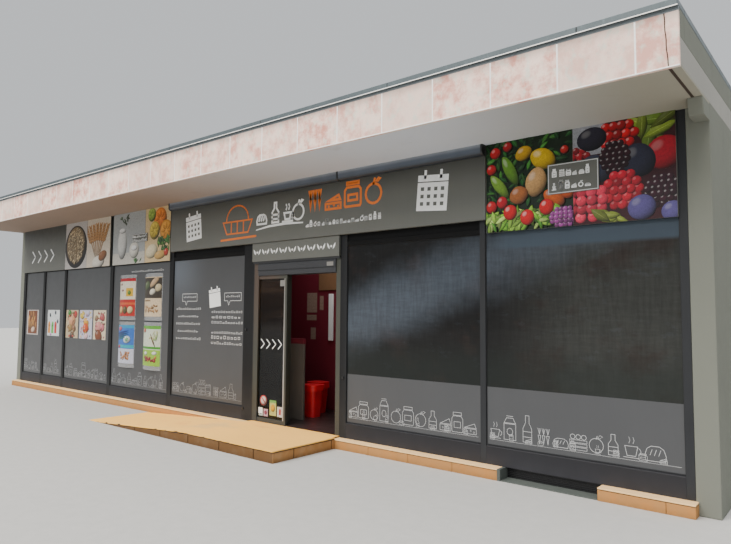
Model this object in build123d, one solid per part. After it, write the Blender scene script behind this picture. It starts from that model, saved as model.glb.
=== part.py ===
"""Street-front supermarket: one storey behind an aluminium and glass shopfront, under a
cantilevered flat canopy clad in stone. A sloped and a level entrance platform lead to a
doorway closed by one automatic sliding leaf, which hangs on rollers from a track in the
door head.

Millimetres, +Z up, +X to the right along the front, +Y into the building. Inside this file
x runs from the outer face of the left party wall and y from the shopfront's front face.
Every piece is moved once, at the end, so that the origin lies at ground level under the
middle of the building with its platform.
"""
import os

from build123d import *

# Overall sizes
building_depth = 12000
party_wall = 200
back_wall_thickness = 250
canopy_depth = 1100
platform_depth = 1200

# Heights above the pavement
plinth_height = 122
floor_level = 144
riser_height = 330

# Heights stacked over the door
door_height = 2156
header_height = 200
header_to_glass_top = 140
panel_lap = 10
right_picture_raise = 40
welcome_gap = 15
welcome_height = 275
sign_gap = 5
sign_height = 842
fascia_height = 433
coping_gap = 35
coping_height = 57

# Widths along the shopfront, from left to right
edge_post = 120
narrow_bay = 945
thin_post = 95
poster_bay = 1870
picture_post = 115
holder_bay = 1950
sign_post = 120
window_bay = 1915
door_post = 240
left_jamb = 102
side_light = 616
doorway = 962
right_jamb = 80
display_post = 111
display_bay = 1975
middle_post = 68
end_post = 73

# Shopfront sections
frame_depth = 60
glass_setback = 20
glass_thickness = 8
riser_bevel = 15
transom_height = 60
bulkhead_thickness = 40
panel_thickness = 25
sign_depth = 50
sign_inset = 80
sign_overrun = 33
picture_overrun = 25
lamp_depth = 60
lamp_height = 122
lamp_radius = 45
collar_width = 24
collar_proud = 6

# Structure and finishes
slab_thickness = 220
plaster_thickness = 20
stone_thickness = 30
stone_width = 636
stone_joint = 10
stone_joint_depth = 6
stone_chamfer = 3
plinth_projection = 133
plinth_left_inset = 80
plinth_right_overlap = 24
parapet_thickness = 150
coping_overhang = 25
coping_chamfer = 12
coping_drip = 4
roof_finish = 60
lintel_depth = 200
soffit_block_width = 122
soffit_block_depth = 290
soffit_block_height = 150
soffit_block_taper = 50

# Entrance platform
ramp_run = 2600
ramp_toe = 8
landing_overrun = 46

# Vent gap in the right plinth
vent_start = 2270
vent_width = 1010
vent_sill_height = 10
vent_sill_setback = 12

# Door header, a transom with a raised cover strip between two recessed strips
header_front = 20
header_recess = 8
header_lower_strip = 78
header_upper_strip = 35

# Operator case behind the header
operator_depth = 90
operator_wall = 4
operator_front_lip = 15
operator_back_lip = 20
operator_overrun = 25

# Sliding door
leaf_gap = 8
leaf_depth = 45
leaf_bottom_gap = 8
leaf_top_gap = 6
leaf_overlap = 53
leaf_stile = 66
leaf_top_rail = 66
leaf_bottom_rail = 100
leaf_closing_gap = 5
leaf_parked_inset = 15
leaf_glass = 10
side_frame_setback = 8
side_frame_depth = 44
side_bottom_rail = 60
side_top_rail = 53
side_stile = 63
right_jamb_depth = 120
groove_width = 18
groove_depth = 30
guide_thickness = 8
guide_length = 30
guide_height = 28
hanger_inset = 200
hanger_width = 60
hanger_thickness = 8
hanger_height = 150
roller_radius = 22
roller_width = 12
roller_axle = 6
axle_radius = 5
roller_clearance = 0.3
track_lip = 8
track_lip_height = 28
track_flange = 8

# Welcome panel over the door
welcome_overrun = 22
welcome_inset = 10
welcome_depth = 30

# Poster holders in the fourth bay
holder_width = 580
holder_height = 855
holder_bulge = 55
holder_sheet = 4
holder_bottoms = (707, 1590)
holder_starts = (253, 1136)

# Entrance lobby
lobby_wall_distance = 1500
lobby_wall_thickness = 100
lobby_wall_start = 1875
lobby_wall_end = 825
screen_distance = 490
screen_depth = 40
screen_width = 560
screen_height = 1210
screen_side_gap = 135
bin_width = 330
bin_depth = 300
bin_height = 400
bin_base_share = 0.68
bin_corner = 60
bin_gap = 40
bin_lid_height = 90
bin_lid_rim = 25
bin_side_gap = 287
bin_shift = 210
bin_distance = 700

# Lock knobs on the frame: post, share of the post's width, height above the pavement
knob_radius = 16
knob_depth = 14
lock_knobs = (("door_post", 0.3, 1489), ("door_post", 0.13, 300), ("display_post", 0.55, 903))


def block(x0, x1, y0, y1, z0, z1):
    """A rectangular solid between six planes."""
    middle = Pos((x0 + x1) / 2, (y0 + y1) / 2, (z0 + z1) / 2)
    return middle * Box(x1 - x0, y1 - y0, z1 - z0)


def group(solids):
    """Several solids that share one node."""
    return Compound(list(solids))


def along_x(points, x0, x1):
    """A solid whose (y, z) outline runs from x0 to x1."""
    outline = make_face(Polyline(*[(x0, y, z) for y, z in points], close=True))
    return extrude(outline, amount=x1 - x0, dir=(1, 0, 0))


def along_y(points, y0, y1):
    """A solid whose (x, z) outline runs from y0 to y1."""
    outline = make_face(Polyline(*[(x, y0, z) for x, z in points], close=True))
    return extrude(outline, amount=y1 - y0, dir=(0, 1, 0))


# Places along the shopfront: each bay is the clear width between two posts
widths = (
    ("edge_post", edge_post), ("bay_1", narrow_bay), ("post_1", thin_post),
    ("bay_2", narrow_bay), ("post_2", thin_post), ("bay_3", poster_bay),
    ("picture_post", picture_post), ("bay_4", holder_bay), ("sign_post", sign_post),
    ("bay_5", window_bay), ("door_post", door_post), ("left_jamb", left_jamb),
    ("side_light", side_light), ("doorway", doorway), ("right_jamb", right_jamb),
    ("display_post", display_post), ("bay_6", display_bay), ("middle_post", middle_post),
    ("bay_7", display_bay), ("end_post", end_post),
)
place = {}
x_now = party_wall
for name, width in widths:
    place[name] = (x_now, x_now + width)
    x_now += width
shop_end = x_now
building_width = shop_end + party_wall
post_names = ("edge_post", "post_1", "post_2", "picture_post", "sign_post", "door_post",
              "display_post", "middle_post", "end_post")
bays = ("bay_1", "bay_2", "bay_3", "bay_4", "bay_5", "bay_6", "bay_7")
door_start = place["left_jamb"][0]
door_end = place["right_jamb"][1]
opening_start, opening_end = place["doorway"]

# Places in height and depth
header_bottom = floor_level + door_height
header_top = header_bottom + header_height
glass_top = header_top + header_to_glass_top
head_panel_bottom = glass_top + panel_lap
right_picture_bottom = glass_top + right_picture_raise
right_glass_top = right_picture_bottom - panel_lap
welcome_bottom = header_top + welcome_gap
welcome_top = welcome_bottom + welcome_height
sign_bottom = welcome_top + sign_gap
soffit_height = sign_bottom + sign_height
slab_bottom = soffit_height + plaster_thickness
slab_top = slab_bottom + slab_thickness
fascia_top = soffit_height + fascia_height
parapet_top = fascia_top + coping_gap
coping_top = parapet_top + coping_height
back_wall_front = building_depth - back_wall_thickness
stone_back = stone_thickness - canopy_depth
glass_back = glass_setback + glass_thickness

nodes = {}


def structure():
    """Walls, floor, roof slab, parapets and the beam over the shopfront."""
    inner_start, inner_end = party_wall, shop_end
    nodes["left_party_wall"] = block(0, party_wall, 0, building_depth, 0, slab_bottom)
    nodes["right_party_wall"] = block(
        shop_end, building_width, 0, building_depth, 0, slab_bottom)
    nodes["back_wall"] = block(
        inner_start, inner_end, back_wall_front, building_depth, 0, slab_bottom)
    nodes["floor_slab"] = block(
        inner_start, inner_end, frame_depth, back_wall_front, 0, floor_level)
    nodes["roof_slab"] = block(
        0, building_width, stone_back, building_depth, slab_bottom, slab_top)
    nodes["lintel_beam"] = block(
        inner_start, inner_end, frame_depth, frame_depth + lintel_depth,
        head_panel_bottom, slab_bottom)
    front_inner = stone_back + parapet_thickness
    back_inner = building_depth - parapet_thickness
    nodes["long_parapets"] = group([
        block(0, building_width, stone_back, front_inner, slab_top, parapet_top),
        block(0, building_width, back_inner, building_depth, slab_top, parapet_top)])
    nodes["side_parapets"] = group([
        block(0, parapet_thickness, front_inner, back_inner, slab_top, parapet_top),
        block(building_width - parapet_thickness, building_width, front_inner, back_inner,
              slab_top, parapet_top)])
    nodes["roof_covering"] = block(
        parapet_thickness, building_width - parapet_thickness, front_inner, back_inner,
        slab_top, slab_top + roof_finish)


def canopy_finish():
    """Plaster soffit, stone fascia with its joints, and metal copings."""
    nodes["canopy_soffit"] = block(
        0, building_width, stone_back, 0, soffit_height, slab_bottom)
    front = -canopy_depth
    stone = block(0, building_width, front, stone_back, soffit_height, fascia_top)
    joint_x = building_width - stone_width / 2
    while joint_x > stone_width / 4:
        stone -= stone_groove(joint_x, front)
        joint_x -= stone_width
    nodes["fascia_stone"] = stone

    block_back_foot = soffit_block_taper - soffit_block_depth
    block_foot = soffit_height - soffit_block_height
    nodes["soffit_block"] = along_x(
        [(0, soffit_height), (-soffit_block_depth, soffit_height),
         (block_back_foot, block_foot), (0, block_foot)],
        building_width - soffit_block_width, building_width)

    front_edge = -canopy_depth - coping_overhang
    front_back = stone_back + parapet_thickness + coping_overhang
    back_front = building_depth - parapet_thickness - coping_overhang
    nodes["long_copings"] = group([
        along_x(coping_section(front_edge, front_back), 0, building_width),
        along_x(coping_section(back_front, building_depth), 0, building_width)])
    side_width = parapet_thickness + coping_overhang
    nodes["side_copings"] = group([
        along_y(coping_section(0, side_width), front_back, back_front),
        along_y(coping_section(building_width - side_width, building_width),
                front_back, back_front)])


def stone_groove(x, front):
    """The pointed joint between two fascia slabs, with the slabs' arrises chamfered."""
    half = stone_joint / 2
    outline = [(x - half - stone_chamfer, front), (x - half, front + stone_chamfer),
               (x - half, front + stone_joint_depth), (x + half, front + stone_joint_depth),
               (x + half, front + stone_chamfer), (x + half + stone_chamfer, front)]
    face = make_face(Polyline(*[(px, py, soffit_height) for px, py in outline], close=True))
    return extrude(face, amount=fascia_height, dir=(0, 0, 1))


def coping_section(near, far):
    """The outline of a metal coping: chamfered shoulders over a flat seat."""
    shoulder = coping_top - coping_chamfer
    return [(near, parapet_top), (far, parapet_top), (far, shoulder),
            (far - coping_chamfer, coping_top), (near + coping_chamfer, coping_top),
            (near, shoulder)]


def plinth_and_platform():
    """Tiled plinth under the shopfront, the vent gap, the ramp and the landing."""
    left_strip = block(plinth_left_inset, door_start, -plinth_projection, 0,
                       0, plinth_height)
    left_kerb = block(party_wall, door_start, 0, frame_depth, 0, plinth_height)
    nodes["left_plinth"] = left_strip + left_kerb

    strip_end = shop_end + plinth_right_overlap
    vent_x0 = door_end + display_post + vent_start
    vent_x1 = vent_x0 + vent_width
    near = block(door_end, vent_x0, -plinth_projection, frame_depth, 0, plinth_height)
    far = (block(vent_x1, strip_end, -plinth_projection, 0, 0, plinth_height)
           + block(vent_x1, shop_end, 0, frame_depth, 0, plinth_height))
    nodes["right_plinth"] = group([near, far])
    nodes["vent_sill"] = block(vent_x0, vent_x1, vent_sill_setback - plinth_projection,
                               frame_depth, 0, vent_sill_height)

    ramp_start = door_start - ramp_run
    nodes["entrance_ramp"] = along_y(
        [(ramp_start, 0), (door_start, 0), (door_start, floor_level), (ramp_start, ramp_toe)],
        -platform_depth, -plinth_projection)
    landing_end = door_end + landing_overrun
    nodes["entrance_landing"] = (
        block(door_start, door_end, -platform_depth, 0, 0, floor_level)
        + block(door_end, landing_end, -platform_depth, -plinth_projection, 0, floor_level))
    nodes["door_threshold"] = block(door_start, door_end, 0, frame_depth, 0, floor_level)


def pane_top(bay):
    """The last bay's glass runs higher, up to its raised picture."""
    return right_glass_top if bay == "bay_7" else glass_top


def shopfront_frame():
    """Posts, transoms, riser panels and the boards over the glass."""
    posts = [block(*place[name], 0, frame_depth, plinth_height, soffit_height)
             for name in post_names]
    nodes["shopfront_posts"] = group(posts)
    nodes["transoms"] = group([
        block(*place[bay], 0, frame_depth, pane_top(bay), pane_top(bay) + transom_height)
        for bay in bays])
    boards = [block(*place[bay], glass_setback, glass_setback + bulkhead_thickness,
                    pane_top(bay) + transom_height, soffit_height) for bay in bays]
    boards.append(block(door_start, door_end, 0, frame_depth, header_top, soffit_height))
    nodes["head_boards"] = group(boards)
    section = [(0, plinth_height), (frame_depth, plinth_height),
               (frame_depth, riser_height), (glass_setback, riser_height),
               (0, riser_height - riser_bevel)]
    nodes["riser_panels"] = group([along_x(section, *place[bay]) for bay in bays])
    knobs = []
    for post, share, height in lock_knobs:
        post_start, post_end = place[post]
        x = post_start + share * (post_end - post_start)
        knobs.append(Pos(x, -knob_depth / 2, height) * Rot(X=90) * Cylinder(
            knob_radius, knob_depth))
    nodes["lock_knobs"] = group(knobs)


def glazing():
    """One pane in each bay and one in the fixed side light."""
    nodes["shop_windows"] = group([
        block(*place[bay], glass_setback, glass_back, riser_height, pane_top(bay))
        for bay in bays])
    side_start, side_end = place["side_light"]
    middle = side_frame_setback + side_frame_depth / 2
    nodes["side_light_glass"] = block(
        side_start, side_end - side_stile, middle - glass_thickness / 2,
        middle + glass_thickness / 2, floor_level + side_bottom_rail,
        header_bottom - side_top_rail)


def head_panels():
    """Flat panels over the glass, the long sign board and its lamp."""
    edge_x0 = place["edge_post"][0]
    split_x = (place["post_2"][0] + place["post_2"][1]) / 2
    picture_x0, picture_x1 = place["picture_post"]
    sign_x0 = place["sign_post"][0] + sign_inset
    sign_x1 = place["middle_post"][1] + sign_overrun
    picture_end = place["sign_post"][0] + picture_overrun
    nodes["left_fascia_panel"] = block(edge_x0, split_x, -panel_thickness, 0,
                                       head_panel_bottom, soffit_height)
    nodes["picture_panels"] = group([
        block(split_x, picture_x0, -panel_thickness, 0, head_panel_bottom, soffit_height),
        block(picture_x1, picture_end, -panel_thickness, 0,
              head_panel_bottom, soffit_height),
        block(sign_x1, place["bay_7"][1], -panel_thickness, 0,
              right_picture_bottom, soffit_height)])
    nodes["sign_panel"] = block(sign_x0, sign_x1, -sign_depth, 0,
                                sign_bottom, soffit_height)
    nodes["welcome_panel"] = block(
        door_start - welcome_overrun, door_end - welcome_inset, -welcome_depth, 0,
        welcome_bottom, welcome_top)
    sign_lamp(sign_x0, sign_x1)


def lamp_section(x0, x1, proud):
    """One length of the round-nosed lamp along the top of the sign."""
    front = -sign_depth - lamp_depth - proud
    body = block(x0, x1, front, -sign_depth, soffit_height - lamp_height - proud,
                 soffit_height)
    nose = body.edges().filter_by(Axis.X).group_by(Axis.Z)[0].sort_by(Axis.Y)[0]
    return fillet(nose, lamp_radius + proud)


def sign_lamp(x0, x1):
    """Lamp lengths between collars, seated on the sign under the soffit."""
    middle = place["display_post"][0]
    collar_starts = [x0, middle, x1 - collar_width]
    nodes["lamp_collars"] = group([
        lamp_section(start, start + collar_width, collar_proud) for start in collar_starts])
    nodes["sign_lamp"] = group([
        lamp_section(start + collar_width, end, 0)
        for start, end in zip(collar_starts, collar_starts[1:])])


def door_surround():
    """Jambs, header, fixed side light and floor guide."""
    nodes["door_jambs"] = group([
        block(*place["left_jamb"], 0, frame_depth, floor_level, header_top),
        block(*place["right_jamb"], 0, right_jamb_depth, floor_level, header_top)])
    side_start, side_end = place["side_light"]
    frame_back = side_frame_setback + side_frame_depth
    bottom_top = floor_level + side_bottom_rail
    top_bottom = header_bottom - side_top_rail
    nodes["side_light_rails"] = group([
        block(side_start, side_end, side_frame_setback, frame_back, floor_level, bottom_top),
        block(side_start, side_end, side_frame_setback, frame_back,
              top_bottom, header_bottom)])
    nodes["side_light_stile"] = block(side_end - side_stile, side_end, side_frame_setback,
                                      frame_back, bottom_top, top_bottom)

    strip = header_recess - header_front
    cover_bottom = header_bottom + header_lower_strip
    cover_top = header_top - header_upper_strip
    nodes["door_header"] = along_x(
        [(frame_depth, header_bottom), (strip, header_bottom), (strip, cover_bottom),
         (-header_front, cover_bottom), (-header_front, cover_top), (strip, cover_top),
         (strip, header_top), (frame_depth, header_top)], side_start, opening_end)

    guide_x = opening_start - (leaf_overlap + leaf_parked_inset) / 2
    nodes["floor_guide"] = block(
        guide_x - guide_length / 2, guide_x + guide_length / 2,
        leaf_middle - guide_thickness / 2, leaf_middle + guide_thickness / 2,
        floor_level, floor_level + guide_height)


def door_operator():
    """The operator case of five plates behind the header, and the rail in it for the rollers."""
    case_start = leaf_start - operator_overrun
    front, back, wall = frame_depth, frame_depth + operator_depth, operator_wall
    front_lip, back_lip = front + operator_front_lip, back - operator_back_lip
    lip_top, sides_top = header_bottom + wall, header_top - wall
    nodes["door_operator"] = group([
        block(case_start, opening_end, front, back, sides_top, header_top),
        block(case_start, opening_end, front, front + wall, lip_top, sides_top),
        block(case_start, opening_end, back - wall, back, lip_top, sides_top),
        block(case_start, opening_end, front, front_lip, header_bottom, lip_top),
        block(case_start, opening_end, back_lip, back, header_bottom, lip_top)])

    track_y0 = roller_middle - track_lip / 2
    track_y1 = roller_middle + track_lip / 2
    base = track_top - track_lip_height
    track = [(track_y0, base), (back - wall, base), (back - wall, base + track_flange),
             (track_y1, base + track_flange), (track_y1, track_top), (track_y0, track_top)]
    nodes["roller_track"] = along_x(track, case_start, opening_end)


# The leaf is parked open behind the side light
leaf_parked_end = opening_start - leaf_parked_inset
leaf_width = doorway - leaf_closing_gap + leaf_overlap
leaf_start = leaf_parked_end - leaf_width
leaf_travel = opening_end - leaf_closing_gap - leaf_parked_end
leaf_front = frame_depth + leaf_gap
leaf_back = leaf_front + leaf_depth
leaf_middle = (leaf_front + leaf_back) / 2
leaf_bottom = floor_level + leaf_bottom_gap
leaf_top = header_bottom - leaf_top_gap
hanger_front = leaf_middle - hanger_thickness / 2
hanger_back = leaf_middle + hanger_thickness / 2
roller_middle = hanger_back + roller_axle + roller_width / 2
axle_height = leaf_top + hanger_height - roller_radius
track_top = axle_height - roller_radius - roller_clearance


def door_leaf():
    """The moving leaf: rails, stiles, glass, hangers and rollers."""
    bottom_rail = block(leaf_start, leaf_parked_end, leaf_front, leaf_back,
                        leaf_bottom, leaf_bottom + leaf_bottom_rail)
    bottom_rail -= block(leaf_start, leaf_parked_end, leaf_middle - groove_width / 2,
                         leaf_middle + groove_width / 2, leaf_bottom,
                         leaf_bottom + groove_depth)
    top_rail = block(leaf_start, leaf_parked_end, leaf_front, leaf_back,
                     leaf_top - leaf_top_rail, leaf_top)
    nodes["leaf_rails"] = group([bottom_rail, top_rail])
    low, high = leaf_bottom + leaf_bottom_rail, leaf_top - leaf_top_rail
    nodes["leaf_stiles"] = group([
        block(leaf_start, leaf_start + leaf_stile, leaf_front, leaf_back, low, high),
        block(leaf_parked_end - leaf_stile, leaf_parked_end, leaf_front, leaf_back,
              low, high)])
    nodes["leaf_glass"] = block(
        leaf_start + leaf_stile, leaf_parked_end - leaf_stile,
        leaf_middle - leaf_glass / 2, leaf_middle + leaf_glass / 2, low, high)
    hangers, rollers = [], []
    for middle in (leaf_start + hanger_inset, leaf_parked_end - hanger_inset):
        plate = block(middle - hanger_width / 2, middle + hanger_width / 2,
                      hanger_front, hanger_back, leaf_top, leaf_top + hanger_height)
        axle = Pos(middle, hanger_back + roller_axle / 2, axle_height) * Rot(X=90) * Cylinder(
            axle_radius, roller_axle)
        hangers.append(plate + axle)
        rollers.append(Pos(middle, roller_middle, axle_height) * Rot(X=90) * Cylinder(
            roller_radius, roller_width))
    nodes["leaf_hangers"] = group(hangers)
    nodes["leaf_rollers"] = group(rollers)


def poster_holders():
    """Four bowed display sheets in the fourth bay, each between two end caps."""
    bay_start = place["bay_4"][0]
    holders = []
    for start in holder_starts:
        for bottom in holder_bottoms:
            x0 = bay_start + start
            x1 = x0 + holder_width
            crown = glass_setback - holder_bulge
            bow = ThreePointArc((x0, glass_setback), ((x0 + x1) / 2, crown),
                                (x1, glass_setback))
            closing = Line((x1, glass_setback), (x0, glass_setback))
            outline = make_face(bow + closing)
            solid = extrude(outline, amount=holder_height, dir=(0, 0, 1))
            holders.append(Pos(0, 0, bottom) * solid)
    nodes["poster_holders"] = group(holders)


def lobby():
    """What stands just inside the doorway."""
    wall_front = lobby_wall_distance
    nodes["lobby_wall"] = block(
        door_start - lobby_wall_start, door_start + lobby_wall_end, wall_front,
        wall_front + lobby_wall_thickness, floor_level, slab_bottom)
    screen_end = opening_start - screen_side_gap
    nodes["lobby_screen"] = block(
        screen_end - screen_width, screen_end, screen_distance,
        screen_distance + screen_depth, floor_level, floor_level + screen_height)
    bodies, lids = [], []
    lid_bottom = floor_level + bin_height
    for index in range(2):
        middle_x = opening_start - bin_side_gap - index * bin_shift
        middle_y = bin_distance + bin_depth / 2 + index * (bin_depth + bin_gap)
        base = Pos(middle_x, middle_y, floor_level) * RectangleRounded(
            bin_width * bin_base_share, bin_depth * bin_base_share, bin_corner)
        rim = Pos(middle_x, middle_y, lid_bottom) * RectangleRounded(
            bin_width - 2 * bin_lid_rim, bin_depth - 2 * bin_lid_rim, bin_corner)
        bodies.append(loft([base, rim]))
        lid = Pos(middle_x, middle_y, lid_bottom) * RectangleRounded(
            bin_width, bin_depth, bin_corner + bin_lid_rim)
        lids.append(extrude(lid, amount=bin_lid_height))
    nodes["bin_bodies"] = group(bodies)
    nodes["bin_lids"] = group(lids)


structure()
canopy_finish()
plinth_and_platform()
shopfront_frame()
glazing()
head_panels()
door_surround()
door_operator()
door_leaf()
poster_holders()
lobby()

origin_y = (building_depth - platform_depth) / 2
to_origin = Pos(-building_width / 2, -origin_y, 0)
os.makedirs("parts", exist_ok=True)
for name, shape in nodes.items():
    export_step(to_origin * shape, f"parts/{name}.step")
print(f"{len(nodes)} nodes, {building_width} wide, leaf travel {leaf_travel}")
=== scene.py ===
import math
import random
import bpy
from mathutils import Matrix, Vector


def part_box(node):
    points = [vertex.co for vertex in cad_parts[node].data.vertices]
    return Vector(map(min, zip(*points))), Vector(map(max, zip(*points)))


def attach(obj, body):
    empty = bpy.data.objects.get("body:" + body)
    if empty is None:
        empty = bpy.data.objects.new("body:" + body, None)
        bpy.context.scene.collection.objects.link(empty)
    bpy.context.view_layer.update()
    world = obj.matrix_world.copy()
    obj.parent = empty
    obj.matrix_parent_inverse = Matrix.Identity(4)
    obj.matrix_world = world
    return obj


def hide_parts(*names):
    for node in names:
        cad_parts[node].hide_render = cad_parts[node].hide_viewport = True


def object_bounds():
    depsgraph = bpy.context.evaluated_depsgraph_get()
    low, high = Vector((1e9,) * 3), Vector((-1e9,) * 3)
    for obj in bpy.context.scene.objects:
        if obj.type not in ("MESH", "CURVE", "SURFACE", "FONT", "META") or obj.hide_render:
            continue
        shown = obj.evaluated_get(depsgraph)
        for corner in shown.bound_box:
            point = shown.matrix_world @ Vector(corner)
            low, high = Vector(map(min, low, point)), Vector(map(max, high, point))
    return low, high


bl_info = {
    "name": "Street supermarket",
    "version": (1, 0, 0),
    "blender": (4, 5, 0),
    "location": "3D View > Sidebar > Shop",
    "description": "Finishes a single-storey supermarket with a glazed shopfront and a stone canopy",
    "category": "Object",
}

import bmesh
import bpy
from bpy.props import FloatProperty, FloatVectorProperty, PointerProperty
from mathutils import Matrix, Vector, noise

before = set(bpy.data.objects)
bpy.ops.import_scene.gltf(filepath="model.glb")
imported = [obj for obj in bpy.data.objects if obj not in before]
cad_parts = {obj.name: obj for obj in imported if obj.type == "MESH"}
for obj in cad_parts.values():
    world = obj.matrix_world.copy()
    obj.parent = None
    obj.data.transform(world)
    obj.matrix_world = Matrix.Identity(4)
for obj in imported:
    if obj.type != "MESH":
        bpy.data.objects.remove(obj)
cad_low, cad_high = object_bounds()

SAME_POINT = 0.00005
VINYL = 0.0005
LAYER = 0.00003


def linear(channel):
    """One sRGB channel, 0 to 255, as linear light."""
    share = channel / 255
    return share / 12.92 if share <= 0.04045 else ((share + 0.055) / 1.055) ** 2.4


def tint(red, green, blue):
    """An sRGB colour as linear light."""
    return linear(red), linear(green), linear(blue)


def swatch(name, description, *channels):
    """A colour that a user may change, given as sRGB."""
    return FloatVectorProperty(name=name, description=description, subtype="COLOR", size=3,
                               min=0, max=1, default=tint(*channels))


def length(name, description, default):
    """A length that a user may change, in metres."""
    return FloatProperty(name=name, description=description, unit="LENGTH", min=0,
                         default=default)


class ShopColours(bpy.types.PropertyGroup):
    """Colours of the finishes."""

    stone: swatch("Fascia stone", "Pink stone slabs on the canopy's edge", 246, 218, 203)
    stone_veil: swatch("Stone patches", "Redder patches in the stone", 206, 134, 116)
    mortar: swatch("Mortar", "White joints between the slabs", 252, 250, 246)
    coping: swatch("Coping metal", "Blue-grey sheet metal on the parapets", 78, 88, 92)
    soffit: swatch("Soffit", "Smooth plaster under the canopy", 208, 213, 222)
    render: swatch("Wall render", "Grey-beige render of the walls", 112, 114, 105)
    concrete: swatch("Concrete", "Bare concrete of slabs and lintel", 150, 148, 142)
    felt: swatch("Roof felt", "Dark bitumen roof covering", 62, 62, 64)
    beige: swatch("Beige screed", "Top of the entrance platform", 255, 197, 104)
    tile: swatch("Beige tile", "Upright tiles of platform and plinth", 186, 134, 80)
    grout: swatch("Grout", "Dark joints between the tiles", 52, 38, 28)
    sill: swatch("Grey stone", "Sill under the basement vent", 74, 80, 76)
    charcoal: swatch("Charcoal paint", "Painted posts and rails", 35, 36, 38)
    riser: swatch("Riser paint", "Painted panels under the windows", 42, 42, 45)
    film: swatch("Window film", "Grey film on the panes", 65, 66, 68)
    glass: swatch("Dark glass", "Panes of the two display windows", 26, 26, 26)
    # Colour of the pale painted reflection on the dark display panes.
    haze: swatch("Glass haze", "Pale bloom on the dark panes", 72, 79, 88)
    sign: swatch("Sign grey", "Sign, welcome and end panels", 97, 98, 93)
    lamp: swatch("Lamp navy", "Housing of the sign lamp", 84, 92, 104)
    vinyl: swatch("White vinyl", "White cut shapes", 232, 233, 232)
    orange: swatch("Orange vinyl", "Orange cut shapes", 222, 112, 20)
    aluminium: swatch("Door aluminium", "Beige-grey door profiles", 66, 67, 60)
    bright: swatch("Bright edge", "Pale edge of the side light", 172, 168, 162)
    operator_case: swatch("Header cover", "Grey cover of the door header", 58, 59, 62)
    red_wall: swatch("Lobby red", "Dark red lobby wall", 104, 32, 44)
    cabinet: swatch("Lobby screen", "Grey-brown panel in the lobby", 100, 93, 86)
    bin_red: swatch("Bin red", "Red plastic bins", 228, 40, 50)
    lobby_tile: swatch("Lobby tile", "Dark reddish floor tiles", 45, 34, 33)


class ShopSizes(bpy.types.PropertyGroup):
    """Sizes that scene pieces share."""

    slab: length("Slab width", "Width of one stone slab on the fascia", 0.636)
    slab_joint: length("Slab joint", "Width of the mortar joint", 0.015)
    coping_length: length("Coping length", "Length of one sheet of coping", 2.0)
    seam: length("Coping seam", "Gap between two sheets of coping", 0.006)
    felt_width: length("Felt width", "Width of one run of roof felt", 1.0)
    felt_lap: length("Felt lap", "Overlap of two runs of felt", 0.09)
    felt_sheet: length("Felt thickness", "Thickness of the lapped felt", 0.004)
    platform_tile: length("Platform tile", "Length of the platform's upright tiles", 0.665)
    plinth_tile: length("Plinth tile", "Length of the plinth's upright tiles", 0.6)
    tile_joint: length("Tile joint", "Gap between two tiles", 0.004)
    platform_joint: length("Platform joint", "Gap between two of the platform's tiles", 0.014)
    screed: length("Screed", "Thickness of the platform's top layer", 0.013)
    cap: length("Plinth cap", "Thickness of the plinth's top strip", 0.014)
    bead: length("Glazing bead", "Width of the bead round a pane", 0.004)
    bead_depth: length("Bead depth", "How far the bead stands off the glass", 0.011)
    gasket: length("Gasket", "Width of the black gasket inside a bead", 0.003)
    gasket_depth: length("Gasket depth", "How far the gasket stands off the glass", 0.004)
    low_film: length("Low film", "Top of the film on the display windows", 0.955)
    picture_hang: length("Picture foot", "How far the right-hand picture hangs lower", 0.034)
    vent_cheek: length("Vent cheek", "Width of the cement beside the vent", 0.034)
    stroke: length("Fine line", "Line width of the drawings on the glass", 0.0036)
    sign_stroke: length("Sign line", "Line width of the drawings on the sign", 0.03)


class ShopStage(bpy.types.PropertyGroup):
    """The camera's place and the light."""

    eye: FloatVectorProperty(name="Eye", description="Place of the camera", size=3,
                             subtype="TRANSLATION", default=(8.4243, -11.4762, 1.7425))
    yaw: FloatProperty(name="Yaw", description="Turn to the left of +Y", subtype="ANGLE",
                       default=0.68976)
    pitch: FloatProperty(name="Pitch", description="Tilt above the horizon", subtype="ANGLE",
                         default=0.06832)
    roll: FloatProperty(name="Roll", description="Turn about the line of sight",
                        subtype="ANGLE", default=0.00754)
    focal: FloatProperty(name="Focal length", description="In picture pixels", default=610.69)
    picture: FloatProperty(name="Picture width", description="In pixels", default=731)
    sky: FloatProperty(name="Sky", description="Strength of the even light", default=1.5)
    sun: FloatProperty(name="Sun", description="Strength of the soft high light", default=4.6)
    lobby: FloatProperty(name="Lobby light", description="Power in watts", default=22)
    floor: length("Floor size", "Side of the studio floor", 120)


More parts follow.
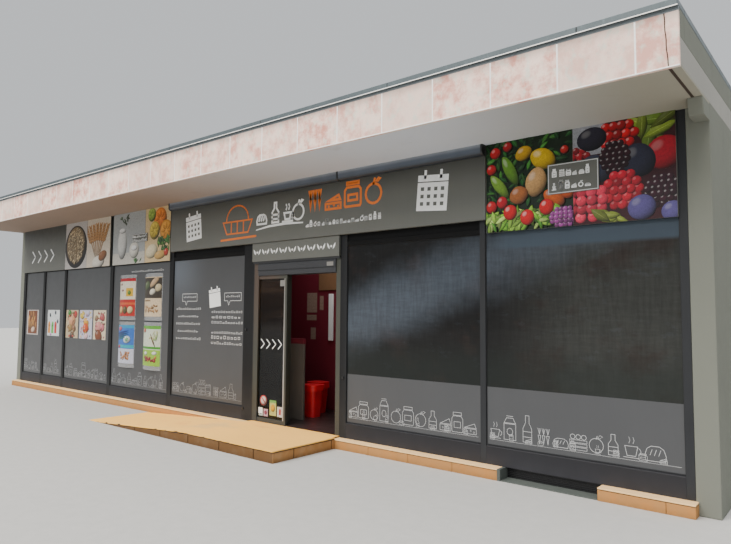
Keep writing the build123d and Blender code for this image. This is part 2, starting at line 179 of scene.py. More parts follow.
class Finish:
    """One Principled material with patterns in the piece's own coordinates."""

    def __init__(self, name, colour, **sockets):
        self.material = bpy.data.materials.new(name)
        self.material.use_nodes = True
        self.tree = self.material.node_tree
        self.shader = self.tree.nodes["Principled BSDF"]
        self.space = self.add("ShaderNodeTexCoord").outputs["Object"]
        self.shader.inputs["Base Color"].default_value = (*colour, 1)
        for socket, value in sockets.items():
            self.shader.inputs[socket.replace("_", " ")].default_value = value

    def add(self, kind, **settings):
        """Adds a node."""
        node = self.tree.nodes.new(kind)
        for name, value in settings.items():
            setattr(node, name, value)
        return node

    def feed(self, socket, value):
        """Links a socket to another node, or sets its value."""
        if isinstance(value, bpy.types.NodeSocket):
            self.tree.links.new(value, socket)
        elif socket.type == "RGBA":
            socket.default_value = (*value, 1)
        else:
            socket.default_value = value

    def stretched(self, stretch):
        """The piece's coordinates, scaled along each axis."""
        node = self.add("ShaderNodeMapping")
        node.inputs["Scale"].default_value = stretch
        self.feed(node.inputs["Vector"], self.space)
        return node.outputs["Vector"]

    def cloud(self, size, stretch=(1, 1, 1), detail=3.0, rough=0.55):
        """Soft noise whose clouds are about that size in metres."""
        node = self.add("ShaderNodeTexNoise")
        node.inputs["Scale"].default_value = 1 / size
        node.inputs["Detail"].default_value = detail
        node.inputs["Roughness"].default_value = rough
        self.feed(node.inputs["Vector"], self.stretched(stretch))
        return node.outputs["Fac"]

    def cells(self, size):
        """Distance to the nearest point of a scatter with that spacing."""
        node = self.add("ShaderNodeTexVoronoi")
        node.inputs["Scale"].default_value = 1 / size
        self.feed(node.inputs["Vector"], self.space)
        return node.outputs["Distance"]

    def axis(self, letter):
        """One of the piece's coordinates, in metres."""
        node = self.add("ShaderNodeSeparateXYZ")
        self.feed(node.inputs[0], self.space)
        return node.outputs[letter]

    def maths(self, operation, first, second=0.0):
        """One sum."""
        node = self.add("ShaderNodeMath", operation=operation)
        self.feed(node.inputs[0], first)
        self.feed(node.inputs[1], second)
        return node.outputs[0]

    def share(self, value, low, high):
        """0 at low and 1 at high, with a smooth change between."""
        node = self.add("ShaderNodeMapRange", interpolation_type="SMOOTHSTEP")
        self.feed(node.inputs["Value"], value)
        node.inputs["From Min"].default_value = low
        node.inputs["From Max"].default_value = high
        return node.outputs["Result"]

    def along(self, letter, low, high):
        """0 at one place along an axis and 1 at another, in metres."""
        return self.share(self.axis(letter), low, high)

    def product(self, first, second):
        """Two numbers multiplied."""
        return self.maths("MULTIPLY", first, second)

    def spread(self, value, low, high):
        """Turns a share of 0 to 1 into a number between low and high."""
        node = self.add("ShaderNodeMapRange")
        self.feed(node.inputs["Value"], value)
        node.inputs["To Min"].default_value = low
        node.inputs["To Max"].default_value = high
        return node.outputs["Result"]

    def mix(self, factor, first, second, blend="MIX"):
        """Mixes two colours."""
        node = self.add("ShaderNodeMix", data_type="RGBA", blend_type=blend)
        self.feed(node.inputs[0], factor)
        self.feed(node.inputs[6], first)
        self.feed(node.inputs[7], second)
        return node.outputs[2]

    def veil(self, colour, other, most, factor):
        """Mixes another colour in, up to the share it has at most."""
        return self.mix(self.spread(factor, 0, most), colour, other)

    def shade(self, colour, factor, dark, light):
        """Makes a colour darker or lighter with a factor of 0 to 1."""
        grey = self.add("ShaderNodeCombineColor")
        level = self.spread(factor, dark, light)
        for socket in grey.inputs[:3]:
            self.feed(socket, level)
        return self.mix(1.0, colour, grey.outputs[0], "MULTIPLY")

    def done(self, colour, gloss, low, high, relief=None, depth=0.0, strength=0.6):
        """Sets colour, roughness from low to high and, where given, relief in metres."""
        self.feed(self.shader.inputs["Base Color"], colour)
        self.feed(self.shader.inputs["Roughness"], self.spread(gloss, low, high))
        if relief is not None:
            node = self.add("ShaderNodeBump")
            node.inputs["Strength"].default_value = strength
            node.inputs["Distance"].default_value = depth
            self.feed(node.inputs["Height"], relief)
            self.feed(self.shader.inputs["Normal"], node.outputs["Normal"])
        return self.material


def scaled(colour, factor):
    """A colour made lighter or darker."""
    return tuple(min(1, channel * factor) for channel in colour)


def fascia_stone(name, colours):
    """Pink stone: mottled slabs of differing warmth, with veils, specks and painted shade along the
    top under the coping.
    """
    made = Finish(name, colours.stone)
    along = made.maths("DIVIDE", made.maths("SUBTRACT", cad_high.x, made.axis("X")),
                       bpy.context.scene.shop_sizes.slab)
    slab = made.add("ShaderNodeTexWhiteNoise", noise_dimensions="1D")
    made.feed(slab.inputs["W"], made.maths("FLOOR", made.maths("ADD", along, 0.5)))
    each = slab.outputs["Value"]
    warm = made.share(made.cloud(0.2, (1, 1, 0.9), 6, 0.68), 0.4, 0.64)
    warm = made.product(warm, made.spread(each, 0.35, 1.0))
    stone = made.mix(warm, colours.stone, colours.stone_veil)
    pale = made.share(made.cloud(0.1, (1, 1, 0.8), 5, 0.65), 0.5, 0.66)
    stone = made.veil(stone, tint(212, 220, 206), 0.6, pale)
    stone = made.shade(stone, each, 0.92, 1.08)
    stone = made.shade(stone, made.share(made.cells(0.035), 0.05, 0.16), 0.84, 1.0)
    streak = made.share(made.cloud(0.05, (1, 1, 0.12)), 0.56, 0.74)
    stone = made.shade(stone, made.product(streak, made.along("Z", 3.8, 3.64)), 1.0, 0.72)
    # Painted shade: the stone darkens towards its top, under the coping.
    stone = made.shade(stone, made.along("Z", 3.96, 4.07), 1.0, 0.66)
    return made.done(stone, made.cloud(0.06), 0.45, 0.75, made.cloud(0.012, detail=4), 0.0012)


def painted(name, colour, rough, fleck=0.06, streak=0.1, dust=None, painted_light_fade=None):
    """Painted metal: faint streaks down, flecks, dust towards the ground, and painted light and shade
    along X if asked.
    """
    made = Finish(name, colour, Specular_IOR_Level=0.16)
    coat = made.shade(colour, made.cloud(0.04, (1, 1, 0.08), 4), 1 - streak, 1 + streak)
    coat = made.shade(coat, made.cloud(0.45, detail=2), 1 - fleck * 2, 1 + fleck * 2)
    if painted_light_fade:
        # Painted light and shade: darker before the given span along X, paler after it.
        coat = made.shade(coat, made.along("X", *painted_light_fade), 0.54, 1.42)
    if dust:
        low, high, shade = dust
        settled = made.product(made.along("Z", high, low), made.cloud(0.16, (1, 1, 0.6), 4))
        coat = made.mix(settled, coat, shade)
    return made.done(coat, made.cloud(0.02), rough - 0.08, rough + 0.1,
                     made.cloud(0.006, detail=2), 0.0003, 0.4)


def charcoal_frame(name, colours):
    """Matt charcoal paint of the posts and rails, with painted shade darker left of the door's right
    side and painted light paler on the display side.
    """
    dusty = scaled(colours.charcoal, 2.0)
    return painted(name, colours.charcoal, 0.52, dust=(0.1, 0.9, dusty), painted_light_fade=(2.9, 3.3))


def head_paint(name, colours):
    """Near-black boards over the windows: charcoal paint darkened further as painted shade."""
    return painted(name, scaled(colours.charcoal, 0.22), 0.75)


def riser_paint(name, colours):
    """Charcoal paint of the panels under the windows, dusty near the ground."""
    return painted(name, colours.riser, 0.48, 0.05, 0.06,
                   dust=(0.1, 0.33, scaled(colours.riser, 1.6)))


def operator_case(name, colours):
    """Grey cover of the door header."""
    return painted(name, colours.operator_case, 0.42)


def grey_panel(name, colours):
    """Satin sign panel, with painted shade darkening it towards the lamp at its top."""
    made = Finish(name, colours.sign, Specular_IOR_Level=0.3)
    # Painted shade under the lamp: the panel darkens towards its top.
    panel = made.shade(colours.sign, made.along("Z", 3.15, 3.62), 0.95, 0.36)
    panel = made.shade(panel, made.cloud(0.9, detail=2), 0.93, 1.07)
    panel = made.shade(panel, made.cloud(0.05, (1, 1, 0.05), 4), 0.97, 1.04)
    return made.done(panel, made.cloud(0.12), 0.42, 0.58, made.cloud(0.7, detail=1), 0.002, 0.3)


def window_film(name, colours):
    """Grey film on the glass: nearly even, with faint smears, painted light that makes the foot and
    the right of the door a little lighter, and a pale painted reflection.
    """
    made = Finish(name, colours.film, Specular_IOR_Level=0.35, Coat_Weight=0.08,
                  Coat_Roughness=0.15)
    # Painted light: a little lighter towards the foot and right of the door.
    film = made.shade(colours.film, made.along("Z", 1.9, 0.4), 0.95, 1.0)
    film = made.shade(film, made.along("X", 2.9, 3.3), 0.97, 1.12)
    # Painted reflection: a pale bluish patch high on the pane beside the door.
    painted_reflection_mask = made.product(made.along("Z", 1.75, 2.5), made.along("X", 0.1, -0.9))
    painted_reflection_mask = made.product(painted_reflection_mask, made.along("X", -1.08, -1.02))
    film = made.mix(painted_reflection_mask, film, tint(84, 90, 98))
    film = made.shade(film, made.cloud(0.5, (1, 1, 0.5)), 0.93, 1.07)
    film = made.shade(film, made.cloud(0.03, (1, 1, 0.15)), 0.98, 1.03)
    return made.done(film, made.cloud(0.2), 0.34, 0.5, made.cloud(0.35, detail=2), 0.0015, 0.25)


def dark_glass(name, colours):
    """Dark display glass: a slanting pale painted reflection, dusty threads, brown and green depths.
    """
    made = Finish(name, colours.glass, Specular_IOR_Level=0.15, Coat_Weight=0.06,
                  Coat_Roughness=0.05)
    across, height = made.axis("X"), made.axis("Z")
    pane = made.mix(made.share(across, 5.1, 6.3), colours.glass, tint(48, 49, 47))
    brown = made.share(made.cloud(0.55, (1, 1, 1.3), 4, 0.6), 0.5, 0.68)
    pane = made.veil(pane, tint(42, 33, 30), 0.6, brown)
    # Painted reflection: a slanting pale band, weaker towards the right.
    centre = made.maths("ADD", made.product(across, 0.36), 0.5)
    away = made.maths("SUBTRACT", height, centre)
    away = made.maths("ADD", away, made.spread(made.cloud(0.5), -0.25, 0.25))
    painted_reflection_mask = made.share(made.maths("ABSOLUTE", away), 0.62, 0.05)
    painted_light_fade = made.spread(made.share(across, 3.2, 6.6), 0.8, 0.55)
    pane = made.mix(made.product(painted_reflection_mask, painted_light_fade), pane, colours.haze)
    for stretch, depth in (((1, 1, 0.12), 0.09), ((0.15, 1, 1), 0.07)):
        threads = made.share(made.cloud(0.035, stretch, 4, 0.7), 0.36, 0.64)
        pane = made.shade(pane, threads, 1 - depth, 1 + depth)
    # Faint pale shapes in the painted reflection's colour.
    shapes = made.share(made.cloud(0.16, (0.8, 1, 1.6), 5, 0.75), 0.56, 0.66)
    pane = made.veil(pane, colours.haze, 0.1, shapes)
    top = made.product(made.share(height, 2.44, 2.49), made.share(across, 5.1, 5.5))
    pane = made.veil(pane, tint(62, 72, 82), 0.85, top)
    pane = made.veil(pane, tint(30, 35, 33), 0.6, made.share(height, 1.5, 1.1))
    return made.done(pane, made.cloud(0.5, detail=2), 0.12, 0.26, made.cloud(0.9, detail=1),
                     0.002, 0.15)


def coping_metal(name, colours):
    """Weathered sheet metal: blotches of chalk and faint runs."""
    made = Finish(name, colours.coping, Metallic=0.35)
    metal = made.shade(colours.coping, made.cloud(0.35, detail=4), 0.75, 1.25)
    chalk = made.share(made.cloud(0.05, (1, 1, 0.3), 4), 0.58, 0.75)
    metal = made.veil(metal, scaled(colours.coping, 1.9), 0.4, chalk)
    return made.done(metal, made.cloud(0.08), 0.35, 0.6, made.cloud(0.25, detail=2), 0.002, 0.4)


def plaster(name, colour, grain, patch, stain):
    """Painted plaster or render with a fine grain, wide patches and soft stains."""
    made = Finish(name, colour, Specular_IOR_Level=0.2)
    coat = made.shade(colour, made.cloud(patch), 0.9, 1.08)
    marks = made.share(made.cloud(patch * 0.35, (1, 1, 0.5), 5, 0.65), 0.56, 0.74)
    coat = made.veil(coat, scaled(colour, 0.62), stain, marks)
    return made.done(coat, made.cloud(0.1), 0.75, 0.95,
                     made.cloud(grain, detail=4, rough=0.7), grain * 0.25)


def soffit_plaster(name, colours):
    """Smooth plaster under the canopy, browner towards its ends, with painted shade darkening it
    towards the left.
    """
    made = Finish(name, colours.soffit, Specular_IOR_Level=0.2)
    # Painted shade: darker and browner towards the left.
    coat = made.veil(colours.soffit, tint(128, 100, 72), 0.85, made.along("X", 4.3, -1.5))
    coat = made.veil(coat, tint(138, 133, 114), 0.9, made.along("X", 4.6, 7.2))
    coat = made.shade(coat, made.cloud(1.6), 0.93, 1.06)
    marks = made.share(made.cloud(0.5, detail=5, rough=0.65), 0.58, 0.74)
    coat = made.veil(coat, tint(128, 122, 112), 0.18, marks)
    return made.done(coat, made.cloud(0.1), 0.75, 0.95,
                     made.cloud(0.006, detail=4, rough=0.7), 0.0015)


def render(name, colours):
    """Grained render of the walls."""
    return plaster(name, colours.render, 0.01, 1.4, 0.3)


def concrete(name, colours):
    """Bare concrete of slab and lintel."""
    return plaster(name, colours.concrete, 0.016, 0.9, 0.35)


def roof_felt(name, colours):
    """Mineral felt: fine slate grains, dusty puddle marks."""
    made = Finish(name, colours.felt, Specular_IOR_Level=0.2)
    felt = made.shade(colours.felt, made.cells(0.012), 0.75, 1.35)
    puddle = made.share(made.cloud(1.6, detail=4), 0.52, 0.62)
    felt = made.veil(felt, scaled(colours.felt, 2.0), 0.18, puddle)
    return made.done(felt, puddle, 0.92, 0.75, made.cloud(0.004), 0.001)


def screed(name, colours):
    """Worn beige screed: warm blotches, grey foot dirt and a few dark nicks."""
    made = Finish(name, colours.beige, Specular_IOR_Level=0.08)
    top = made.shade(colours.beige, made.cloud(0.7, (0.6, 1, 1), 4), 0.94, 1.06)
    worn = made.share(made.cloud(0.35, (0.5, 1, 1), 5, 0.65), 0.54, 0.7)
    top = made.veil(top, tint(232, 150, 84), 0.35, worn)
    top = made.shade(top, made.along("X", 1.0, 2.4), 1.0, 0.88)
    grey = made.share(made.cloud(0.8, (0.7, 1, 1), 4, 0.6), 0.56, 0.7)
    top = made.veil(top, tint(196, 170, 136), 0.35, grey)
    top = made.veil(top, colours.grout, 0.5, made.share(made.cells(0.09), 0.035, 0.0))
    return made.done(top, made.cloud(0.2), 0.7, 0.9, made.cloud(0.02, detail=4), 0.0015)


def tiled(name, colour, patch, painted_light_from=None):
    """Upright tiles: each a little different, warm patches, splashed foot, painted light past an X.
    """
    made = Finish(name, colour, Specular_IOR_Level=0.2)
    face = made.shade(colour, made.cloud(0.42, (1, 1, 0.2), 2), 0.86, 1.12)
    face = made.veil(face, patch, 0.5, made.share(made.cloud(0.16, detail=4), 0.46, 0.68))
    if painted_light_from:
        # Painted light: much paler past that X.
        face = made.shade(face, made.along("X", painted_light_from, painted_light_from + 0.003), 1.0, 2.8)
    face = made.shade(face, made.share(made.cells(0.022), 0.03, 0.14), 0.76, 1.0)
    splash = made.product(made.along("Z", 0.07, 0.0), made.cloud(0.05, detail=5))
    face = made.veil(face, scaled(colour, 0.5), 0.9, splash)
    return made.done(face, made.cloud(0.07), 0.5, 0.75, made.cloud(0.015), 0.0008)


def beige_tile(name, colours):
    """Tiles of the plinth."""
    return tiled(name, scaled(colours.tile, 0.86), tint(186, 124, 62))


def platform_tile(name, colours):
    """The tile colour darkened as painted shade on the platform's front, with painted light on the
    end towards the open street.
    """
    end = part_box("entrance_landing")[1].x - 0.01
    # Painted shade: the tile colour is scaled far below the plinth's.
    return tiled(name, scaled(colours.tile, 0.28), tint(112, 88, 62), end)


def plain(name, colour, rough, grain=0.02, spread=0.08, depth=0.0004, **sockets):
    """An even finish with a little mottling, uneven gloss and a fine grain."""
    made = Finish(name, colour, **sockets)
    coat = made.shade(colour, made.cloud(grain * 6, detail=4), 1 - spread, 1 + spread)
    return made.done(coat, made.cloud(grain * 2), rough * 0.85, min(1, rough * 1.2),
                     made.cloud(grain), depth, 0.5)


def grout(name, colours):
    """Dark gritty joint."""
    return plain(name, colours.grout, 0.95, 0.008, 0.25, 0.001)


def flashing(name, colours):
    """Grey strip between the stone and the coping, standing in as painted shade under the coping."""
    return plain(name, tint(100, 108, 112), 0.6, 0.02, 0.1)


def mortar(name, colours):
    """Pale gritty joint of the fascia."""
    return plain(name, colours.mortar, 0.9, 0.008, 0.1, 0.0006)


def plinth_cap(name, colours):
    """Pale worn top strip of the plinth."""
    return plain(name, tint(236, 196, 142), 0.8, 0.03, 0.14, 0.0008, Specular_IOR_Level=0.1)


def grey_stone(name, colours):
    """Grey stone sill of the vent."""
    return plain(name, colours.sill, 0.8, 0.02, 0.2, 0.0015)


def lamp_plastic(name, colours):
    """Dusty lamp housing, with a pale painted highlight on top and painted shade nearly black below.
    """
    made = Finish(name, colours.lamp, Specular_IOR_Level=0.3)
    # Painted shade below and a painted highlight on top, as on a round housing lit from above.
    shell = made.mix(made.along("Z", 3.57, 3.525), colours.lamp, scaled(colours.lamp, 0.3))
    shell = made.mix(made.along("Z", 3.585, 3.635), shell, tint(128, 134, 142))
    shell = made.shade(shell, made.cloud(0.2, detail=4), 0.85, 1.15)
    return made.done(shell, made.cloud(0.1), 0.35, 0.55, made.cloud(0.3, detail=1), 0.001, 0.3)


def white_vinyl(name, colours):
    """White cut vinyl, a little dusty."""
    return plain(name, colours.vinyl, 0.45, 0.02, 0.06)


def faint_vinyl(name, colours):
    """White lines seen through the film, so they look grey."""
    return plain(name, tint(150, 152, 155), 0.5, 0.02, 0.14)


def drawn_vinyl(name, colours):
    """Thin white lines on the display panes, chalky."""
    return plain(name, tint(196, 197, 198), 0.55, 0.02, 0.12)


def orange_vinyl(name, colours):
    """Orange cut vinyl."""
    return plain(name, colours.orange, 0.45, 0.02, 0.07)


def black_gasket(name, colours):
    """Black rubber of gaskets and seals."""
    return plain(name, tint(20, 20, 21), 0.6, 0.01, 0.15)


def window_glass(name, colours):
    """Clear tinted door glass with faint bands and a painted reflection, browner towards its head and
    darker below.
    """
    made = Finish(name, tint(36, 38, 34), Specular_IOR_Level=0.4, IOR=1.5, Alpha=0.45)
    # Painted reflection: brown towards the head, darker below.
    sheet = made.mix(made.along("Z", 1.2, 2.2), tint(10, 11, 10), tint(42, 32, 24))
    faint_bands = made.share(made.cloud(0.09, (0.04, 1, 1), 2), 0.42, 0.62)
    sheet = made.shade(sheet, faint_bands, 0.6, 1.6)
    return made.done(sheet, made.cloud(0.15, detail=2), 0.05, 0.12)


def clear_acrylic(name, colours):
    """Pale display sheet, slightly milky."""
    milky = tint(186, 188, 190)
    made = Finish(name, milky, Specular_IOR_Level=0.6, Alpha=0.42)
    return made.done(made.shade(milky, made.cloud(0.1), 0.88, 1.08), made.cloud(0.1), 0.08, 0.2)


def door_aluminium(name, colours):
    """Anodised door profiles, brushed along their length, browner at the side light's head, with
    painted light giving the foot a cool grey cast.
    """
    made = Finish(name, colours.aluminium, Metallic=0.35)
    brown = made.product(made.along("Z", 1.0, 2.2), made.along("X", 1.95, 1.6))
    metal = made.veil(colours.aluminium, tint(88, 68, 58), 0.6, brown)
    # Painted light: a cool grey cast towards the foot.
    metal = made.veil(metal, tint(54, 64, 72), 0.6, made.along("Z", 0.5, 0.15))
    metal = made.shade(metal, made.cloud(0.02, (1, 1, 0.02), 4), 0.93, 1.07)
    metal = made.shade(metal, made.cloud(0.5), 0.86, 1.1)
    return made.done(metal, made.cloud(0.05, (1, 1, 0.1)), 0.36, 0.52,
                     made.cloud(0.003, (1, 1, 0.05), 2), 0.0002, 0.4)


def bright_aluminium(name, colours):
    """Pale worn edge of the side light, duller towards its head."""
    made = Finish(name, colours.bright, Metallic=0.3)
    edge = made.shade(colours.bright, made.along("Z", 0.6, 2.1), 1.0, 0.56)
    return made.done(edge, made.cloud(0.02), 0.28, 0.42)


def steel_fittings(name, colours):
    """Brushed steel of locks, hangers, track and guide."""
    steel = tint(150, 150, 150)
    made = Finish(name, steel, Metallic=0.9)
    coat = made.shade(steel, made.cloud(0.01, (1, 1, 0.1)), 0.8, 1.15)
    return made.done(coat, made.cloud(0.01), 0.25, 0.45)


def black_cap(name, colours):
    """Dark plastic caps over the locks."""
    return plain(name, tint(26, 26, 28), 0.4, 0.01, 0.12)


def roller_nylon(name, colours):
    """Off-white nylon rollers."""
    return plain(name, tint(206, 202, 190), 0.5, 0.006)


def red_wall(name, colours):
    """Dark red lobby paint with scuffs."""
    made = Finish(name, colours.red_wall, Specular_IOR_Level=0.4)
    paint = made.shade(colours.red_wall, made.cloud(0.8, detail=4), 0.8625, 1.38)
    scuff = made.share(made.cloud(0.03, (0.3, 1, 1), 4), 0.66, 0.8)
    paint = made.veil(paint, scaled(colours.red_wall, 2), 0.3, scuff)
    return made.done(paint, made.cloud(0.1), 0.4, 0.6, made.cloud(0.01), 0.0006)


def cabinet_grey(name, colours):
    """Grey-brown painted cabinet."""
    return plain(name, colours.cabinet, 0.5, 0.03, 0.12)


def red_plastic(name, colours):
    """Moulded red plastic, scratched lightly."""
    made = Finish(name, colours.bin_red, Specular_IOR_Level=0.5)
    shell = made.shade(colours.bin_red, made.cloud(0.15, detail=4), 0.85, 1.12)
    scratch = made.share(made.cloud(0.01, (1, 1, 0.1)), 0.68, 0.8)
    shell = made.veil(shell, tint(220, 90, 90), 0.25, scratch)
    return made.done(shell, made.cloud(0.04), 0.3, 0.5, made.cloud(0.003, detail=2), 0.0002)


def lobby_tile(name, colours):
    """Dark lobby floor tiles with joints."""
    made = Finish(name, colours.lobby_tile, Specular_IOR_Level=0.5)
    face = made.shade(colours.lobby_tile, made.cloud(0.12, detail=4), 0.7, 1.3)
    across, deep = (made.maths("PINGPONG", made.axis(letter), 0.15) for letter in "XY")
    joint = made.share(made.maths("MINIMUM", across, deep), 0.004, 0.001)
    return made.done(made.mix(joint, face, tint(36, 31, 30)), made.cloud(0.2), 0.25, 0.5,
                     made.maths("SUBTRACT", 1.0, joint), 0.001)


def paper(name, colours):
    """Paper in red light, with dim rows."""
    sheet = tint(150, 126, 112)
    made = Finish(name, sheet, Specular_IOR_Level=0.2)
    rows = made.share(made.maths("PINGPONG", made.axis("Z"), 0.012), 0.007, 0.009)
    ink = made.product(rows, made.share(made.cloud(0.02), 0.45, 0.5))
    return made.done(made.veil(sheet, tint(84, 66, 58), 0.5, ink), made.cloud(0.05), 0.75, 0.9)


def notice_board(name, colours):
    """Brown cork board."""
    return plain(name, tint(118, 84, 56), 0.85, 0.006, 0.2, 0.0006)


def picture_print(name, colours):
    """Printed picture: each shape is shaded as round by its own coordinates and tint."""
    made = Finish(name, (0.5, 0.5, 0.5), Specular_IOR_Level=0.35)
    ink = made.add("ShaderNodeAttribute", attribute_name="tint")
    place = made.add("ShaderNodeUVMap", uv_map="shape")
    flat = made.add("ShaderNodeSeparateXYZ")
    made.feed(flat.inputs[0], place.outputs[0])
    across, up = flat.outputs["X"], flat.outputs["Y"]
    reach = made.maths("ADD", made.product(across, across), made.product(up, up))
    front = made.maths("SQRT", made.maths("MAXIMUM", made.maths("SUBTRACT", 1.0, reach), 0.0))
    lit = made.maths("ADD", made.product(up, 0.5), made.product(front, 0.76))
    lit = made.maths("ADD", made.product(across, -0.42), lit)
    body = made.shade(ink.outputs["Color"], made.share(lit, -0.5, 0.95), 0.04, 0.72)
    body = made.shade(body, made.cloud(0.03, detail=5, rough=0.65), 0.6, 1.36)
    body = made.shade(body, made.share(made.cloud(0.008), 0.4, 0.6), 0.86, 1.1)
    gleam = made.product(made.share(lit, 0.9, 1.0), ink.outputs["Alpha"])
    body = made.mix(made.product(gleam, 0.28), body, (1, 0.97, 0.95))
    return made.done(body, made.cloud(0.2), 0.35, 0.5)


def finish(maker):
    """The material that a finish makes, made when it is first asked for."""
    label = "shop_" + maker.__name__
    return bpy.data.materials.get(label) or maker(label, bpy.context.scene.shop_colours)


def solids(node):
    """Low and high corner of each separate solid of a CAD node, from left to right."""
    mesh = bmesh.new()
    mesh.from_mesh(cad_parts[node].data)
    bmesh.ops.remove_doubles(mesh, verts=mesh.verts, dist=SAME_POINT)
    waiting = set(mesh.verts)
    boxes = []
    while waiting:
        reached = [waiting.pop()]
        corners = []
        while reached:
            vert = reached.pop()
            corners.append(vert.co.copy())
            for edge in vert.link_edges:
                other = edge.other_vert(vert)
                if other in waiting:
                    waiting.remove(other)
                    reached.append(other)
        boxes.append((Vector(map(min, *corners)), Vector(map(max, *corners))))
    mesh.free()
    return sorted(boxes, key=lambda box: tuple(box[0]))


def dress(material, *nodes, ease=0.0):
    """Gives CAD nodes a finish and, where asked, eased edges."""
    for node in nodes:
        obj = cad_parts[node]
        obj.data.materials.clear()
        obj.data.materials.append(finish(material))
        if ease:
            weld = obj.modifiers.new("weld", "WELD")
            weld.merge_threshold = SAME_POINT
            bevel = obj.modifiers.new("eased edges", "BEVEL")
            bevel.width = ease
            bevel.segments = 2
            bevel.limit_method = "ANGLE"


def placed(name, data):
    """Adds an object to the scene."""
    obj = bpy.data.objects.new(name, data)
    bpy.context.scene.collection.objects.link(obj)
    return obj


def piece(name, mesh, material, body="building", replaces=()):
    """Makes a finished piece that rides on a body."""
    bmesh.ops.recalc_face_normals(mesh, faces=mesh.faces)
    data = bpy.data.meshes.new(name)
    mesh.to_mesh(data)
    mesh.free()
    data.materials.append(finish(material))
    obj = placed(name, data)
    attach(obj, body)
    if replaces:
        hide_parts(*replaces)
    return obj


def eased(mesh, verts, width, segments):
    """Bevels the edges between some corners."""
    edges = list({edge for vert in verts for edge in vert.link_edges
                  if edge.other_vert(vert) in verts})
    bmesh.ops.bevel(mesh, geom=edges, offset=width, offset_type="OFFSET", affect="EDGES",
                    segments=segments, profile=0.5, material=-1)


def block(mesh, low, high, ease=0.0):
    """Adds a box between two corners, with eased edges, and returns its corners."""
    verts = bmesh.ops.create_cube(mesh, size=1)["verts"]
    bmesh.ops.scale(mesh, vec=Vector(high) - Vector(low), verts=verts)
    bmesh.ops.translate(mesh, vec=(Vector(low) + Vector(high)) / 2, verts=verts)
    if ease:
        eased(mesh, verts, ease, 2)
    return verts


def single(name, low, high, material, ease=0.0):
    """Makes a piece of one block."""
    mesh = bmesh.new()
    block(mesh, low, high, ease)
    return piece(name, mesh, material)


def lengths(start, end, step, gap):
    """Starts and ends of equal lengths with a gap between, the last one cut short."""
    count = max(1, math.ceil((end - start) / step - 0.01))
    for index in range(count):
        yield start + index * step, min(end, start + (index + 1) * step - gap)


def pushed(mesh, faces, depth):
    """Gives flat faces a thickness along Y and returns the new corners."""
    out = bmesh.ops.extrude_face_region(mesh, geom=faces)["geom"]
    verts = [item for item in out if isinstance(item, bmesh.types.BMVert)]
    bmesh.ops.translate(mesh, vec=(0, depth, 0), verts=verts)
    return verts


def rim(mesh, points, y, width):
    """Adds the flat rim of a shape that looks along -Y and returns its faces."""
    face = mesh.faces.new([mesh.verts.new((x, y, z)) for x, z in points])
    face.normal_update()
    made = bmesh.ops.inset_region(mesh, faces=[face], thickness=width, use_even_offset=True,
                                  use_boundary=True)
    bmesh.ops.delete(mesh, geom=[face], context="FACES")
    return made["faces"]


def ring(mesh, low, high, width, back, front, ease=0.0):
    """Adds a rectangular ring that looks along -Y, from back to front."""
    corners = [(low[0], low[1]), (high[0], low[1]), (high[0], high[1]), (low[0], high[1])]
    verts = pushed(mesh, rim(mesh, corners, back, width), front - back)
    if ease:
        eased(mesh, verts, ease, 1)


class Vinyl:
    """Thin shapes cut from vinyl and stuck to a face that looks along -Y."""

    def __init__(self, front):
        self.front = front
        self.mesh = bmesh.new()

    def fill(self, points):
        """A filled shape."""
        face = self.mesh.faces.new([self.mesh.verts.new((x, self.front, z)) for x, z in points])
        pushed(self.mesh, [face], -VINYL)

    def rim(self, points, stroke):
        """Only the rim of a shape."""
        pushed(self.mesh, rim(self.mesh, points, self.front, stroke), -VINYL)

    def line(self, points, stroke):
        """An open line with square ends."""
        for first, last in zip(points, points[1:]):
            start, end = Vector(first), Vector(last)
            along = (end - start).normalized() * stroke * 0.5
            side = Vector((-along.y, along.x))
            start, end = start - along * 0.6, end + along * 0.6
            self.fill([start - side, end - side, end + side, start + side])

    def piece(self, name, material, slot="grey_panel"):
        """The finished piece."""
        return piece(name, self.mesh, material)


def box_points(x, z, wide, high):
    """Corners of an upright rectangle from its lower left corner."""
    return [(x, z), (x + wide, z), (x + wide, z + high), (x, z + high)]


def oval(x, z, wide, high, sides=18, start=0.0, sweep=math.tau):
    """Points of an oval or an arc of it, from its centre."""
    full = sweep >= math.tau
    count = sides if full else sides + 1
    return [(x + wide / 2 * math.cos(start + sweep * k / sides),
             z + high / 2 * math.sin(start + sweep * k / sides)) for k in range(count)]


def turned(points, centre, angle):
    """Points turned about a centre."""
    cos, sin = math.cos(angle), math.sin(angle)
    cx, cz = centre
    return [(cx + (x - cx) * cos - (z - cz) * sin, cz + (x - cx) * sin + (z - cz) * cos)
            for x, z in points]


def mirrored(profile, x):
    """A closed outline from its right half, listed from the foot up."""
    right = [(x + across, z) for across, z in profile]
    left = [(x - across, z) for across, z in reversed(profile)]
    return right + left


class Pen:
    """Draws on a vinyl sheet in shares of a box, with one line width."""

    def __init__(self, art, x, z, wide, high, stroke):
        self.art, self.x, self.z = art, x, z
        self.wide, self.high, self.stroke = wide, high, stroke

    def places(self, points):
        """Points of the sheet from shares of the box."""
        return [(self.x + self.wide * u, self.z + self.high * v) for u, v in points]

    def rim(self, points, weight=1.0):
        """Only the rim of a shape."""
        self.art.rim(self.places(points), self.stroke * weight)

    def line(self, points, weight=1.0):
        """An open line."""
        self.art.line(self.places(points), self.stroke * weight)


def jar(pen):
    """A preserving jar with a lid and a label."""
    pen.rim(mirrored([(0.44, 0), (0.5, 0.1), (0.5, 0.66), (0.36, 0.8)], 0.5))
    pen.rim(box_points(0.12, 0.82, 0.76, 0.16))
    pen.rim(box_points(0.2, 0.22, 0.6, 0.3))


